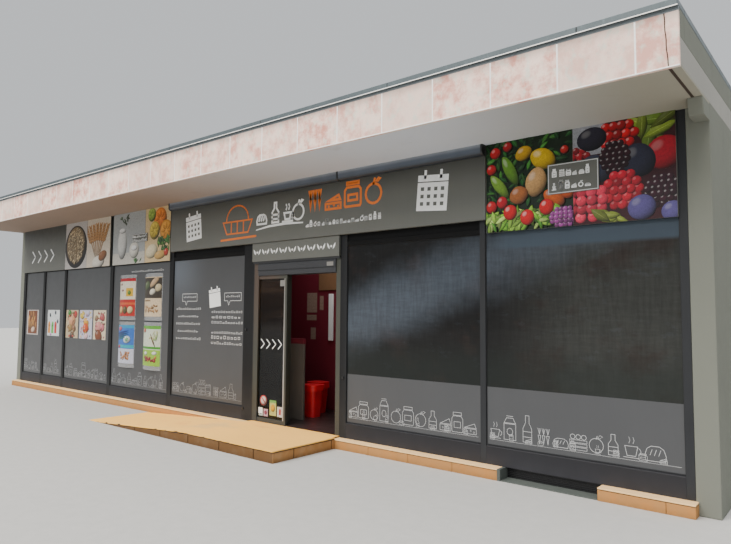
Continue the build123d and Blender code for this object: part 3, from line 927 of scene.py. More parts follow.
def bottle(pen):
    """A bottle with a long neck and a band."""
    pen.rim(mirrored([(0.34, 0), (0.34, 0.52), (0.15, 0.72), (0.15, 1)], 0.5))
    for share in (0.2, 0.4):
        pen.line([(0.2, share), (0.8, share)])


def carton(pen):
    """A drink carton with a gable top."""
    pen.rim(box_points(0, 0, 0.8, 0.66))
    pen.rim([(0, 0.68), (0.8, 0.68), (0.62, 0.9), (0.18, 0.9)])
    pen.line([(0.18, 0.97), (0.62, 0.97)])
    pen.rim(oval(0.4, 0.34, 0.4, 0.3, 12))


def crate(pen):
    """A slatted crate with round fruit on top."""
    for share in (0.0, 0.2, 0.4):
        pen.rim(box_points(0, share, 1, 0.16), 0.8)
    for share in (0.18, 0.5, 0.82):
        pen.rim(oval(share, 0.72, 0.3, 0.28, 12))


def apple(pen):
    """A round fruit with a stalk and a leaf."""
    size = min(pen.wide, pen.high * 0.8)
    pen = Pen(pen.art, pen.x + pen.wide / 2, pen.z, size, size, pen.stroke)
    pen.rim(oval(0, 0.5, 1, 1))
    pen.line([(0, 0.92), (0.08, 1.16)])
    pen.rim([(0.08, 1.02), (0.26, 1.22), (0.46, 1.14), (0.26, 0.98)], 0.7)


def cheese(pen):
    """A wedge of cheese with holes."""
    pen.rim(box_points(0, 0, 1, 0.3))
    pen.rim([(0, 0.33), (1, 0.33), (0.85, 0.6)])
    for across, up in ((0.25, 0.14), (0.55, 0.18), (0.8, 0.12)):
        pen.rim(oval(across, up, 0.13, 0.13 * pen.wide / pen.high, 8), 0.6)


def loaf(pen):
    """A round loaf with slashes."""
    pen.rim(mirrored([(0.46, 0), (0.5, 0.2), (0.4, 0.42), (0.2, 0.52)], 0.5))
    for share in (0.3, 0.5, 0.7):
        pen.line([(share - 0.05, 0.2), (share + 0.05, 0.4)])


def carrots(pen):
    """A bunch of three roots with leaves."""
    for share in (0.22, 0.5, 0.78):
        pen.rim([(share, 0), (share + 0.1, 0.5), (share - 0.1, 0.5)])
        for lean in (-0.1, 0.0, 0.1):
            pen.line([(share, 0.54), (share + lean, 0.86)], 0.8)


def cup(pen):
    """A steaming cup on a saucer."""
    pen.rim([(0.18, 0.08), (0.66, 0.08), (0.78, 0.46), (0.06, 0.46)])
    pen.line([(0, 0.02), (0.84, 0.02)])
    pen.line(oval(0.78, 0.28, 0.3, 0.24, 6, -1.4, 2.8))
    for share in (0.3, 0.52):
        pen.line([(share, 0.56), (share + 0.06, 0.68), (share, 0.8)], 0.8)


def tin(pen):
    """A food tin with ribs."""
    pen.rim(box_points(0, 0, 0.8, 0.7))
    for share in (0.14, 0.28, 0.56):
        pen.line([(0.05, share), (0.75, share)], 0.8)
    pen.rim(oval(0.4, 0.76, 0.8, 0.12, 14), 0.7)


GROCERIES = (jar, bottle, carton, crate, apple, cheese, loaf, carrots, cup, tin)


def grocery_row(art, start, end, foot, tall, stroke, seed, gap=0.16):
    """Fills a line with groceries of differing size."""
    draw = random.Random(seed)
    x = start
    last = None
    while True:
        kind = draw.choice([item for item in GROCERIES if item is not last])
        high = tall * draw.uniform(0.55, 1.0)
        wide = tall * draw.uniform(0.46, 0.66)
        if x + wide > end:
            break
        kind(Pen(art, x, foot, wide, high, stroke))
        x += wide + tall * gap * draw.uniform(0.4, 1.3)
        last = kind


def toned(colour, share):
    """A printed colour made lighter or darker."""
    return [min(255, part * share) for part in colour]


class Print:
    """A printed sheet of layered flat shapes, each with its tint, gloss and shading place."""

    def __init__(self, low, high, front, paper_tint=None):
        self.low, self.high, self.front = Vector(low), Vector(high), front
        self.wide, self.tall = self.high - self.low
        self.mesh = bmesh.new()
        self.ink = self.mesh.loops.layers.float_color.new("tint")
        self.place = self.mesh.loops.layers.uv.new("shape")
        self.raised = LAYER * 3
        if paper_tint:
            self.band(0, 0, 1, 1, paper_tint)

    def lay(self, points, shading, colour, gloss):
        """Lays one shape on the last, trimmed to the sheet."""
        self.raised += LAYER
        verts = [self.mesh.verts.new((x, self.front, z)) for x, z in points]
        face = self.mesh.faces.new(verts)
        for loop, place in zip(face.loops, shading):
            loop[self.place].uv = place
            loop[self.ink] = (*tint(*colour), gloss)
        part = [*verts, *face.edges, face]
        for corner, outward in ((self.low, (-1, 0, 0)), (self.low, (0, 0, -1)),
                                (self.high, (1, 0, 0)), (self.high, (0, 0, 1))):
            if all((x - corner.x) * outward[0] + (z - corner.y) * outward[2] <= 0
                   for x, z in points):
                continue
            part = bmesh.ops.bisect_plane(self.mesh, geom=part, plane_no=outward,
                                          plane_co=(corner.x, self.front, corner.y),
                                          clear_outer=True)["geom"]
            if not part:
                return
        faces = [item for item in part if isinstance(item, bmesh.types.BMFace)]
        pushed(self.mesh, faces, -self.raised)

    def at(self, x, z):
        """A point of the sheet from shares of its width and height."""
        return self.low.x + x * self.wide, self.low.y + z * self.tall

    def band(self, x0, z0, x1, z1, colour):
        """A flat upright rectangle, in shares of the sheet."""
        (left, foot), (right, top) = self.at(x0, z0), self.at(x1, z1)
        self.lay(box_points(left, foot, right - left, top - foot), [(0, 0)] * 4, colour, 0)

    def round(self, x, z, wide, high, colour, angle=0.0, gloss=0.5, sides=20, pinch=0.0):
        """A rounded thing: its size is a share of the sheet's height."""
        cx, cz = self.at(x, z)
        circle = oval(0, 0, 2, 2, sides)
        half = self.tall / 2
        shape = [(cx + u * wide * half, cz + w * (1 - pinch * u * u) * high * half)
                 for u, w in circle]
        back = turned(circle, (0, 0), angle)
        self.lay(turned(shape, (cx, cz), angle), back, colour, gloss)

    def leaf(self, x, z, long, wide, colour, angle):
        """A leaf with a pale rib."""
        self.round(x, z, long, wide, colour, angle, 0.1, 16, 0.9)
        self.round(x, z, long * 0.86, wide * 0.07, [min(255, c + 46) for c in colour], angle,
                   0.0, 8, 0.6)

    def cluster(self, x, z, wide, high, grain, colour, draw, gloss=0.7):
        """Many small balls heaped in an oval, from the edge inwards."""
        spots = []
        rows = int(high / grain / 0.8)
        for row in range(rows):
            up = (row + 0.5) / rows * 2 - 1
            reach = math.sqrt(max(0.0, 1 - up * up))
            count = max(1, int(wide * reach / grain / 0.86))
            for column in range(count):
                across = ((column + 0.5) / count * 2 - 1) * reach
                spots.append((across, up))
        spots.sort(key=lambda spot: -(spot[0] ** 2 + spot[1] ** 2))
        for across, up in spots:
            shade = draw.uniform(0.75, 1.2)
            self.round(x + across * wide * 0.5 * self.tall / self.wide, z + up * high * 0.5,
                       grain * 1.15, grain * 1.15, toned(colour, shade),
                       0, gloss, 10)

    def foliage(self, x0, z0, x1, z1, count, size, colours, draw):
        """Leaves strewn over a part of the sheet."""
        for _ in range(count):
            shade = draw.uniform(0.6, 1.15)
            base = draw.choice(colours)
            self.leaf(draw.uniform(x0, x1), draw.uniform(z0, z1), size * draw.uniform(0.7, 1.3),
                      size * draw.uniform(0.25, 0.45), toned(base, shade),
                      draw.uniform(0, math.pi))

    def bow(self, centre, half, bulge, slices=16):
        """Bends the sheet round an upright cylinder."""
        radius = (half * half + bulge * bulge) / (2 * bulge)
        for step in range(1, slices):
            x = self.low.x + self.wide * step / slices
            geom = [*self.mesh.verts, *self.mesh.edges, *self.mesh.faces]
            bmesh.ops.bisect_plane(self.mesh, geom=geom, plane_co=(x, 0, 0), plane_no=(1, 0, 0))
        for vert in self.mesh.verts:
            away = vert.co.x - centre
            vert.co.y -= math.sqrt(radius ** 2 - away ** 2) - (radius - bulge)

    def piece(self, name, slot="picture_print"):
        """The finished print."""
        return piece(name, self.mesh, picture_print)


panes = solids("shop_windows")
glass_front = panes[0][0].y
sign_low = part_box("sign_panel")[0]
welcome_low, welcome_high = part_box("welcome_panel")
lobby_low, lobby_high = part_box("lobby_wall")
jamb_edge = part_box("door_jambs")[1].x
plinth_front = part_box("left_plinth")[0].y


class SHOP_OT_stage(bpy.types.Operator):
    """Pale floor, soft light and the camera across the street."""

    bl_idname = "shop.stage"
    bl_label = "Stage"

    def execute(self, context):
        stage = context.scene.shop_stage
        mesh = bmesh.new()
        bmesh.ops.create_grid(mesh, x_segments=1, y_segments=1, size=stage.floor / 2)
        data = bpy.data.meshes.new("studio_floor")
        mesh.to_mesh(data)
        mesh.free()
        data.materials.append(plain("studio_floor", tint(176, 175, 172), 0.9))
        floor = placed("studio_floor", data)

        world = bpy.data.worlds.new("soft sky")
        world.use_nodes = True
        tree = world.node_tree
        sky, output = tree.nodes["Background"], tree.nodes["World Output"]
        sky.inputs["Strength"].default_value = stage.sky
        place = tree.nodes.new("ShaderNodeTexCoord")
        split = tree.nodes.new("ShaderNodeSeparateXYZ")
        ramp = tree.nodes.new("ShaderNodeValToRGB")
        stops = ramp.color_ramp.elements
        for height, level in ((0.0, 0.22), (0.22, 0.55), (0.5, 1.0)):
            stop = stops.new(height) if height else stops[0]
            stop.color = (level * 0.93, level * 0.97, level, 1)
        backdrop, mixed = (tree.nodes.new("ShaderNodeBackground"),
                           tree.nodes.new("ShaderNodeMixShader"))
        backdrop.inputs["Color"].default_value = (*tint(214, 217, 220), 1)
        rays = tree.nodes.new("ShaderNodeLightPath")
        for source, target in ((place.outputs["Generated"], split.inputs[0]),
                               (split.outputs["Z"], ramp.inputs[0]),
                               (ramp.outputs["Color"], sky.inputs["Color"]),
                               (rays.outputs["Is Camera Ray"], mixed.inputs[0]),
                               (sky.outputs[0], mixed.inputs[1]),
                               (backdrop.outputs[0], mixed.inputs[2]),
                               (mixed.outputs[0], output.inputs["Surface"])):
            tree.links.new(source, target)
        context.scene.world = world

        lamp = placed("lobby light", bpy.data.lights.new("lobby light", "AREA"))
        lamp.data.energy = stage.lobby
        lamp.data.size = 1.0
        lamp.location = (lobby_high.x, (lobby_low.y + glass_front) / 2, 3.3)

        sun = placed("high light", bpy.data.lights.new("high light", "SUN"))
        sun.data.energy = stage.sun
        sun.data.angle = math.radians(50)
        sun.data.color = (1.0, 0.96, 0.9)
        sun.rotation_euler = (math.radians(40), 0, math.radians(-14))

        camera = placed("camera", bpy.data.cameras.new("camera"))
        camera.data.lens = stage.focal / stage.picture * camera.data.sensor_width
        yaw, pitch, roll = stage.yaw, stage.pitch, stage.roll
        forward = Vector((-math.sin(yaw) * math.cos(pitch), math.cos(yaw) * math.cos(pitch),
                          math.sin(pitch)))
        level = Vector((math.cos(yaw), math.sin(yaw), 0))
        upright = level.cross(forward)
        right = level * math.cos(roll) + upright * math.sin(roll)
        up = upright * math.cos(roll) - level * math.sin(roll)
        turn = Matrix((right, up, -forward)).transposed().to_4x4()
        camera.matrix_world = Matrix.Translation(stage.eye) @ turn
        context.scene.camera = camera
        return {"FINISHED"}


class SHOP_OT_masonry(bpy.types.Operator):
    """Walls, slabs, lintel and roof covering."""

    bl_idname = "shop.masonry"
    bl_label = "Walls and roof"

    def execute(self, context):
        sizes = context.scene.shop_sizes
        dress(render, "back_wall", "left_party_wall", "right_party_wall", ease=0.008)
        dress(render, "long_parapets", "side_parapets", ease=0.006)
        dress(concrete, "roof_slab", "lintel_beam", ease=0.004)
        dress(lobby_tile, "floor_slab", "door_threshold")
        dress(roof_felt, "roof_covering")
        low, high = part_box("roof_covering")
        laps = bmesh.new()
        for start, _ in lengths(low.x + sizes.felt_width, high.x, sizes.felt_width, 0):
            block(laps, (start - sizes.felt_lap, low.y + 0.005, high.z),
                  (start, high.y - 0.005, high.z + sizes.felt_sheet), 0.0015)
        piece("felt_laps", laps, roof_felt)
        return {"FINISHED"}


class SHOP_OT_canopy(bpy.types.Operator):
    """Stone fascia, copings and soffit."""

    bl_idname = "shop.canopy"
    bl_label = "Canopy"

    def execute(self, context):
        sizes = context.scene.shop_sizes
        low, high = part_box("fascia_stone")
        dress(fascia_stone, "fascia_stone")
        dress(soffit_plaster, "canopy_soffit", ease=0.003)
        dress(render, "soffit_block", ease=0.006)

        joints = bmesh.new()
        x = high.x - sizes.slab / 2
        while x > low.x:
            block(joints, (x - sizes.slab_joint / 2, low.y + 0.001, low.z + 0.001),
                  (x + sizes.slab_joint / 2, low.y + 0.012, high.z - 0.001))
            x -= sizes.slab
        piece("fascia_joints", joints, mortar)

        single("fascia_bead", (low.x, low.y - 0.004, low.z),
               (high.x, low.y + 0.004, low.z + 0.011), mortar, 0.002)

        crack = bmesh.new()
        end_joint = high.x - 0.076
        bend = 0.026
        steps = 12
        for step in range(steps):
            z0 = low.z + (high.z - low.z) * step / steps
            z1 = low.z + (high.z - low.z) * (step + 1) / steps
            drift = [0.002 * math.sin(z * 41) - bend * ((z - low.z) / (high.z - low.z)) ** 0.7
                     for z in (z0, z1)]
            verts = block(crack, (end_joint - 0.004, low.y - 0.0015, z0),
                          (end_joint + 0.004, low.y + 0.002, z1))
            for vert in verts:
                vert.co.x += drift[0] if vert.co.z < (z0 + z1) / 2 else drift[1]
        soffit_low, soffit_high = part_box("canopy_soffit")
        block(crack, (end_joint - 0.012, soffit_low.y, soffit_low.z - 0.0015),
              (end_joint + 0.012, soffit_high.y, soffit_low.z + 0.002))
        piece("end_joint_line", crack, grout)

        sheets, gaps = bmesh.new(), bmesh.new()
        for node in ("long_copings", "side_copings"):
            for box_low, box_high in solids(node):
                run = 0 if box_high.x - box_low.x > box_high.y - box_low.y else 1
                for start, end in lengths(box_low[run], box_high[run], sizes.coping_length,
                                          sizes.seam):
                    sheet_low, sheet_high = box_low.copy(), box_high.copy()
                    sheet_low[run], sheet_high[run] = start, end
                    block(sheets, sheet_low, sheet_high, 0.006)
                inner = Vector((0.004, 0.004, 0.003))
                block(gaps, box_low + inner, box_high - inner)
        piece("coping_sheets", sheets, coping_metal,
              replaces=("long_copings", "side_copings"))
        piece("coping_cleats", gaps, black_gasket)
        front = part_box("long_copings")
        single("coping_lip", (front[0].x, front[0].y, front[0].z - 0.004),
               (front[1].x, front[0].y + 0.003, front[0].z + 0.005), mortar,
               0.001)
        # Painted shade: a grey strip fills the gap under the coping.
        single("coping_painted_shade_strip", (low.x, low.y + 0.002, high.z + 0.0005),
               (high.x, high.y, front[0].z - 0.0005), flashing)
        return {"FINISHED"}


class SHOP_OT_plinth(bpy.types.Operator):
    """Tiled plinth with a pale top strip, and the vent sill."""

    bl_idname = "shop.plinth"
    bl_label = "Plinth"

    def execute(self, context):
        sizes = context.scene.shop_sizes
        dress(grey_stone, "vent_sill", ease=0.002)
        low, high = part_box("vent_sill")
        vent_left = low.x
        grille = bmesh.new()
        block(grille, (low.x, high.y - 0.002, high.z), (high.x, high.y, 0.122))
        for step in range(6):
            foot = high.z + 0.004 + step * 0.018
            block(grille, (low.x, high.y - 0.012, foot), (high.x, high.y - 0.002, foot + 0.005))
        piece("vent_grille", grille, black_cap)
        for node in ("left_plinth", "right_plinth"):
            tiles, caps, cores = bmesh.new(), bmesh.new(), bmesh.new()
            for low, high in solids(node):
                top = high.z - sizes.cap
                if abs(high.x - vent_left) < 0.01:
                    edge = high.x - sizes.vent_cheek
                    single("vent_cheek", (edge, low.y + 0.004, low.z), high, grey_stone)
                    high.x = edge
                for start, end in lengths(low.x, high.x, sizes.plinth_tile, sizes.tile_joint):
                    block(tiles, (start, low.y + 0.003, low.z), (end, high.y, top - 0.008), 0.0015)
                block(caps, (low.x, low.y, top), (high.x, high.y, high.z), 0.003)
                block(cores, (low.x + 0.004, low.y + 0.014, low.z), (high.x - 0.004, high.y, top))
            piece(node + "_tiles", tiles, beige_tile, replaces=(node,))
            piece(node + "_caps", caps, plinth_cap)
            piece(node + "_grout", cores, grout)
        return {"FINISHED"}


class SHOP_OT_platform(bpy.types.Operator):
    """Entrance landing and ramp: upright tiles under a worn overhanging screed."""

    bl_idname = "shop.platform"
    bl_label = "Entrance platform"

    def execute(self, context):
        sizes = context.scene.shop_sizes
        ramp_low, ramp_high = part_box("entrance_ramp")
        landing_low, landing_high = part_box("entrance_landing")

        def top(x):
            """Height of the top at a place along the platform."""
            share = (x - ramp_low.x) / (ramp_high.x - ramp_low.x)
            return landing_high.z * max(0.0, min(1.0, share))

        def lowered(verts, gap=0.0):
            """Sets the upper corners of new blocks under the sloping screed."""
            for vert in verts:
                if vert.co.z > 0:
                    vert.co.z = max(0.0, top(vert.co.x) - sizes.screed - gap)

        def tile(mesh, low, high):
            """One upright tile."""
            # The tiles stop 16 mm under the screed, so the dark grout core shows there as painted
            # shadow under the overhang.
            lowered(block(mesh, (low[0], low[1], 0), (high[0], high[1], 1)), 0.016)

        joint, inset, thick = sizes.platform_joint, 0.006, 0.024
        corner_tile, corner_side, thin_end = 0.35, 0.337, 0.12
        face = landing_high.x - inset
        edge = face - corner_tile
        landing, ramp = bmesh.new(), bmesh.new()
        cuts = [face]
        while edge > ramp_low.x + thin_end:
            cuts.append(edge)
            edge -= sizes.platform_tile
        cuts.append(ramp_low.x + thin_end)
        for right, left in zip(cuts, cuts[1:]):
            mesh = landing if right > landing_low.x + sizes.platform_tile / 2 else ramp
            tile(mesh, (left + joint, landing_low.y + inset),
                 (right, landing_low.y + inset + thick))
        notch_x, notch_y = jamb_edge, plinth_front
        near, side = landing_low.y + 0.034, landing_low.y + corner_side
        for far in (side, side + sizes.platform_tile, notch_y):
            tile(landing, (face - thick, near), (face, min(far, notch_y)))
            near = far + joint

        core = bmesh.new()
        for start, end, back in ((ramp_low.x + 0.1, landing_low.x, ramp_high.y),
                                 (landing_low.x, notch_x, landing_high.y),
                                 (notch_x, landing_high.x - 0.016, notch_y)):
            lowered(block(core, (start, landing_low.y + 0.016, 0), (end, back, 1)))

        for name, node, low, high in (
                ("ramp_screed", "entrance_ramp", ramp_low, ramp_high),
                ("landing_screed", "entrance_landing", landing_low, landing_high)):
            slab = bmesh.new()
            bmesh.ops.create_grid(slab, x_segments=int((high.x - low.x) / 0.016),
                                  y_segments=int((high.y - low.y) / 0.05), size=0.5)
            bmesh.ops.scale(slab, vec=(high.x - low.x, high.y - low.y, 1), verts=slab.verts)
            bmesh.ops.translate(slab, vec=(*((low + high) / 2).xy, 0), verts=slab.verts)
            for place, normal in (((notch_x, 0, 0), (1, 0, 0)), ((0, notch_y, 0), (0, 1, 0))):
                bmesh.ops.bisect_plane(slab, geom=[*slab.verts, *slab.edges, *slab.faces],
                                       plane_co=place, plane_no=normal)
            for vert in slab.verts:
                x, y, _ = vert.co
                wave = 0.5 + 0.5 * noise.noise(Vector((x * 2.6, 3, 0)))
                chip = max(0.0, noise.noise(Vector((x * 8, 7, 0))) - 0.12)
                if y < low.y + 0.01:
                    vert.co.y += 0.006 * wave + 0.055 * chip
                if x > landing_high.x - 0.005:
                    vert.co.x -= 0.012 * (0.5 + 0.5 * noise.noise(Vector((4, y * 5, 0))))
                ripple = 0.0025 * noise.noise(Vector((x * 2.1, y * 2.1, 1)))
                vert.co.z = max(0.0015, top(x) - 0.003 + ripple)
            spare = [face for face in slab.faces
                     if face.calc_center_median().x > notch_x
                     and face.calc_center_median().y > notch_y]
            bmesh.ops.delete(slab, geom=spare, context="FACES")
            for vert in pushed(slab, slab.faces[:], 0):
                vert.co.z = max(0.0, vert.co.z - sizes.screed)
            piece(name, slab, screed, replaces=(node,))
        piece("landing_tiles", landing, platform_tile)
        piece("ramp_tiles", ramp, platform_tile)
        piece("platform_grout_and_shade", core, grout)
        return {"FINISHED"}


class SHOP_OT_shopfront(bpy.types.Operator):
    """Painted posts, rails, head boards, risers, beads and gaskets."""

    bl_idname = "shop.shopfront"
    bl_label = "Shopfront frame"

    def execute(self, context):
        sizes = context.scene.shop_sizes
        dress(charcoal_frame, "shopfront_posts", ease=0.002)
        dress(head_paint, "transoms", "head_boards", ease=0.002)
        dress(riser_paint, "riser_panels", ease=0.002)
        beads, gaskets = bmesh.new(), bmesh.new()
        for low, high in panes:
            corner, far = (low.x, low.z), (high.x, high.z)
            ring(beads, corner, far, sizes.bead, low.y, low.y - sizes.bead_depth, 0.001)
            inner = sizes.bead
            ring(gaskets, (low.x + inner, low.z + inner), (high.x - inner, high.z - inner),
                 sizes.gasket, low.y, low.y - sizes.gasket_depth)
        piece("glazing_beads", beads, charcoal_frame)
        piece("pane_gaskets", gaskets, black_gasket)
        return {"FINISHED"}


class SHOP_OT_windows(bpy.types.Operator):
    """Dark panes and the grey film on them."""

    bl_idname = "shop.windows"
    bl_label = "Windows and film"

    def execute(self, context):
        sizes = context.scene.shop_sizes
        dress(dark_glass, "shop_windows")
        films = bmesh.new()
        edge = sizes.bead + sizes.gasket
        for index, (low, high) in enumerate(panes):
            top = high.z - edge if index < len(panes) - 2 else sizes.low_film
            block(films, (low.x + edge, low.y - VINYL, low.z + edge),
                  (high.x - edge, low.y - 0.00002, top))
        piece("window_films", films, window_film)
        return {"FINISHED"}


class SHOP_OT_drawings(bpy.types.Operator):
    """White line drawings of groceries along the foot of the panes, and rows of dashes."""

    bl_idname = "shop.drawings"
    bl_label = "Drawings on the glass"

    def execute(self, context):
        sizes = context.scene.shop_sizes
        face = glass_front - VINYL
        faint, strong = Vinyl(face), Vinyl(face)
        edge = sizes.bead + sizes.gasket + 0.03
        for index, (low, high) in enumerate(panes):
            art = faint if index < len(panes) - 2 else strong
            grocery_row(art, low.x + edge, high.x - edge, 0.41, 0.29, sizes.stroke, 11 + index,
                        0.07)
            grocery_row(art, low.x + edge, high.x - edge, 0.4, 0.12, sizes.stroke * 0.7,
                        111 + index, 1.2)
            art.line([(low.x + edge, 0.392), (high.x - edge, 0.392)], sizes.stroke * 0.6)
        faint.piece("pane_drawings_left", faint_vinyl)
        strong.piece("pane_drawings_right", drawn_vinyl)

        notice = Vinyl(face)
        calendar(notice, 0.23, 1.985, 0.29, 0.12)
        for x in (-0.67, 0.48):
            notice.rim([(x, 1.93), (x + 0.08, 1.93), (x + 0.11, 1.86), (x + 0.15, 1.93),
                        (x + 0.42, 1.93), (x + 0.42, 2.06), (x, 2.06)], 0.005)
            dashes(notice, x + 0.04, x + 0.38, 1.99, 0.02, 31)
        for row in range(5):
            inset = 0.05 * (row % 2)
            dashes(notice, -0.83 + inset, -0.12 - inset, 1.79 - row * 0.125, 0.024, 41 + row)
        for row, foot in enumerate((1.74, 1.655, 1.57, 1.41, 1.325, 1.24)):
            high = (0.024, 0.034, 0.026)[row % 3]
            dashes(notice, 0.164, 0.94, foot, high, 51 + row)
        dashes(notice, -2.345, -1.232, 2.49, 0.022, 61)
        notice.piece("pane_notices", white_vinyl)
        return {"FINISHED"}


def dashes(art, start, end, foot, high, seed):
    """A row of short and long dashes."""
    draw = random.Random(seed)
    x = start
    while x < end - high:
        wide = min(draw.uniform(0.8, 2.0) * high, end - x)
        art.rim(box_points(x, foot, wide, high * draw.uniform(0.6, 1.5)), high * 0.15)
        x += wide + high * 1.1


def calendar(art, x, z, wide, angle):
    """A blank tear-off calendar: page, top strip and two binding rings."""
    high = wide * 1.04
    page = box_points(x - wide / 2, z - high / 2, wide, high * 0.76)
    strip = box_points(x - wide / 2, z + high * 0.29, wide, high * 0.17)
    for shape in (page, strip):
        art.fill(turned(shape, (x, z), angle))
    for side in (-0.26, 0.26):
        hook = box_points(x + side * wide - wide * 0.04, z + high * 0.36, wide * 0.08, high * 0.24)
        art.fill(turned(hook, (x, z), angle))


def calendar_days(art, x, z, wide, angle):
    """Rows of squares on a calendar's page."""
    high = wide * 1.04
    for row in range(3):
        for column in range(4):
            day = box_points(x + (column - 1.75) * wide * 0.22, z - high * (0.36 - row * 0.2),
                             wide * 0.11, high * 0.1)
            art.fill(turned(day, (x, z), angle))


class SHOP_OT_sign(bpy.types.Operator):
    """Sign, welcome and end panels with plain pictograms, and the lamp over them."""

    bl_idname = "shop.sign"
    bl_label = "Sign"

    def execute(self, context):
        sizes = context.scene.shop_sizes
        dress(grey_panel, "sign_panel", "welcome_panel", "left_fascia_panel", ease=0.0015)
        dress(lamp_plastic, "sign_lamp")
        dress(black_cap, "lamp_collars")
        stroke = sizes.sign_stroke
        white, orange, days = (Vinyl(sign_low.y), Vinyl(sign_low.y),
                               Vinyl(sign_low.y - VINYL))
        for x, z, wide, angle in ((-0.3, 3.17, 0.42, 0.1), (4.47, 3.19, 0.43, -0.08)):
            calendar(white, x, z, wide, angle)
            calendar_days(days, x, z, wide, angle)
        basket(Pen(orange, 0.48, 2.89, 0.74, 0.56, stroke * 0.8))
        for x, kind in zip((1.3, 1.6, 1.88, 2.08), (loaf, bottle, cup, apple)):
            kind(Pen(white, x, 3.06, 0.25, 0.32, stroke))
        for x, kind in zip((2.38, 2.72, 3.07, 3.42), (carrots, cheese, jar, apple)):
            kind(Pen(orange, x, 3.14, 0.31, 0.36, stroke * 1.1))
        white.fill([(1.3, 2.985), (1.6, 3.012), (1.95, 3.022), (2.3, 3.012), (2.31, 3.03),
                    (1.95, 3.056), (1.6, 3.044), (1.3, 3.000)])
        grocery_row(white, 2.36, 3.74, 2.945, 0.1, 0.011, 71, 0.2)
        white.piece("sign_pictograms_white", white_vinyl)
        orange.piece("sign_pictograms_orange", orange_vinyl)
        days.piece("calendar_days", grey_panel)

        welcome = Vinyl(welcome_low.y)
        x = welcome_low.x + 0.11
        while x < welcome_high.x - 0.14:
            sprig(welcome, x, (welcome_low.z + welcome_high.z) / 2, 0.15)
            x += 0.19
        welcome.piece("welcome_garland", white_vinyl)

        end_low, end_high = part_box("left_fascia_panel")
        chevrons = Vinyl(end_low.y)
        for step in range(4):
            chevron(chevrons, end_high.x - 0.72 - step * 0.32, 3.0, 0.16, 0.26, 0.035)
        chevrons.piece("end_panel_chevrons", white_vinyl)
        return {"FINISHED"}


def basket(pen):
    """A shopping basket with a round handle, standing on a line."""
    pen.rim([(0.14, 0.14), (0.86, 0.14), (1, 0.52), (0, 0.52)])
    pen.line(oval(0.5, 0.54, 0.72, 0.8, 12, 0.0, math.pi))
    for share in (0.3, 0.5, 0.7):
        pen.line([(share, 0.2), (share, 0.46)])
    pen.line([(-0.04, 0), (1.1, 0.03)], 1.3)


def sprig(art, x, z, size):
    """A small sprig: a dot between two slanted leaves."""
    art.fill(oval(x, z, size * 0.22, size * 0.22, 10))
    for side in (-1, 1):
        leaf = mirrored([(0.0, z - size * 0.3), (size * 0.1, z - size * 0.05),
                         (size * 0.09, z + size * 0.12), (size * 0.02, z + size * 0.34)],
                        x + side * size * 0.34)
        art.fill(turned(leaf[1:], (x + side * size * 0.34, z), -side * 0.5))


def chevron(art, x, z, wide, high, stroke):
    """An arrow head that points to the right."""
    art.line([(x, z - high / 2), (x + wide, z), (x, z + high / 2)], stroke)


class SHOP_OT_pictures(bpy.types.Operator):
    """Food pictures on the head panels."""

    bl_idname = "shop.pictures"
    bl_label = "Pictures"

    def execute(self, context):
        dress(grey_panel, "picture_panels", ease=0.001)
        left, middle, right = solids("picture_panels")
        foot = right[0].z - context.scene.shop_sizes.picture_hang
        single("right_picture_foot", (right[0].x, right[0].y, foot),
               (right[1].x, right[1].y, right[0].z), grey_panel)
        right[0].z = foot
        garden(*right)
        orchard(*right)
        bakery(*left)
        larder(*middle)
        for name, (low, _), x0, x1, z0, z1 in (("right_label", right, 5.89, 6.415, 2.985, 3.3),
                                               ("left_label", middle, -2.27, -1.75, 3.045, 3.2)):
            trim = bmesh.new()
            face = low.y - 0.016
            single(name, (x0, face, z0), (x1, low.y - 0.002, z1), grey_panel,
                   0.002)
            ring(trim, (x0 + 0.006, z0 + 0.006), (x1 - 0.006, z1 - 0.006), 0.008, face,
                 face - 0.0008)
            piece(name + "_rim", trim, drawn_vinyl)
            row = Vinyl(face)
            size = (z1 - z0) * 0.3
            for line in range(2):
                foot = z0 + (z1 - z0) * (0.14 + 0.42 * line)
                grocery_row(row, x0 + size * 0.5, x1 - size * 0.4, foot, size, size * 0.12,
                            81 + line, 0.25)
            row.piece(name + "_row", white_vinyl)
        return {"FINISHED"}


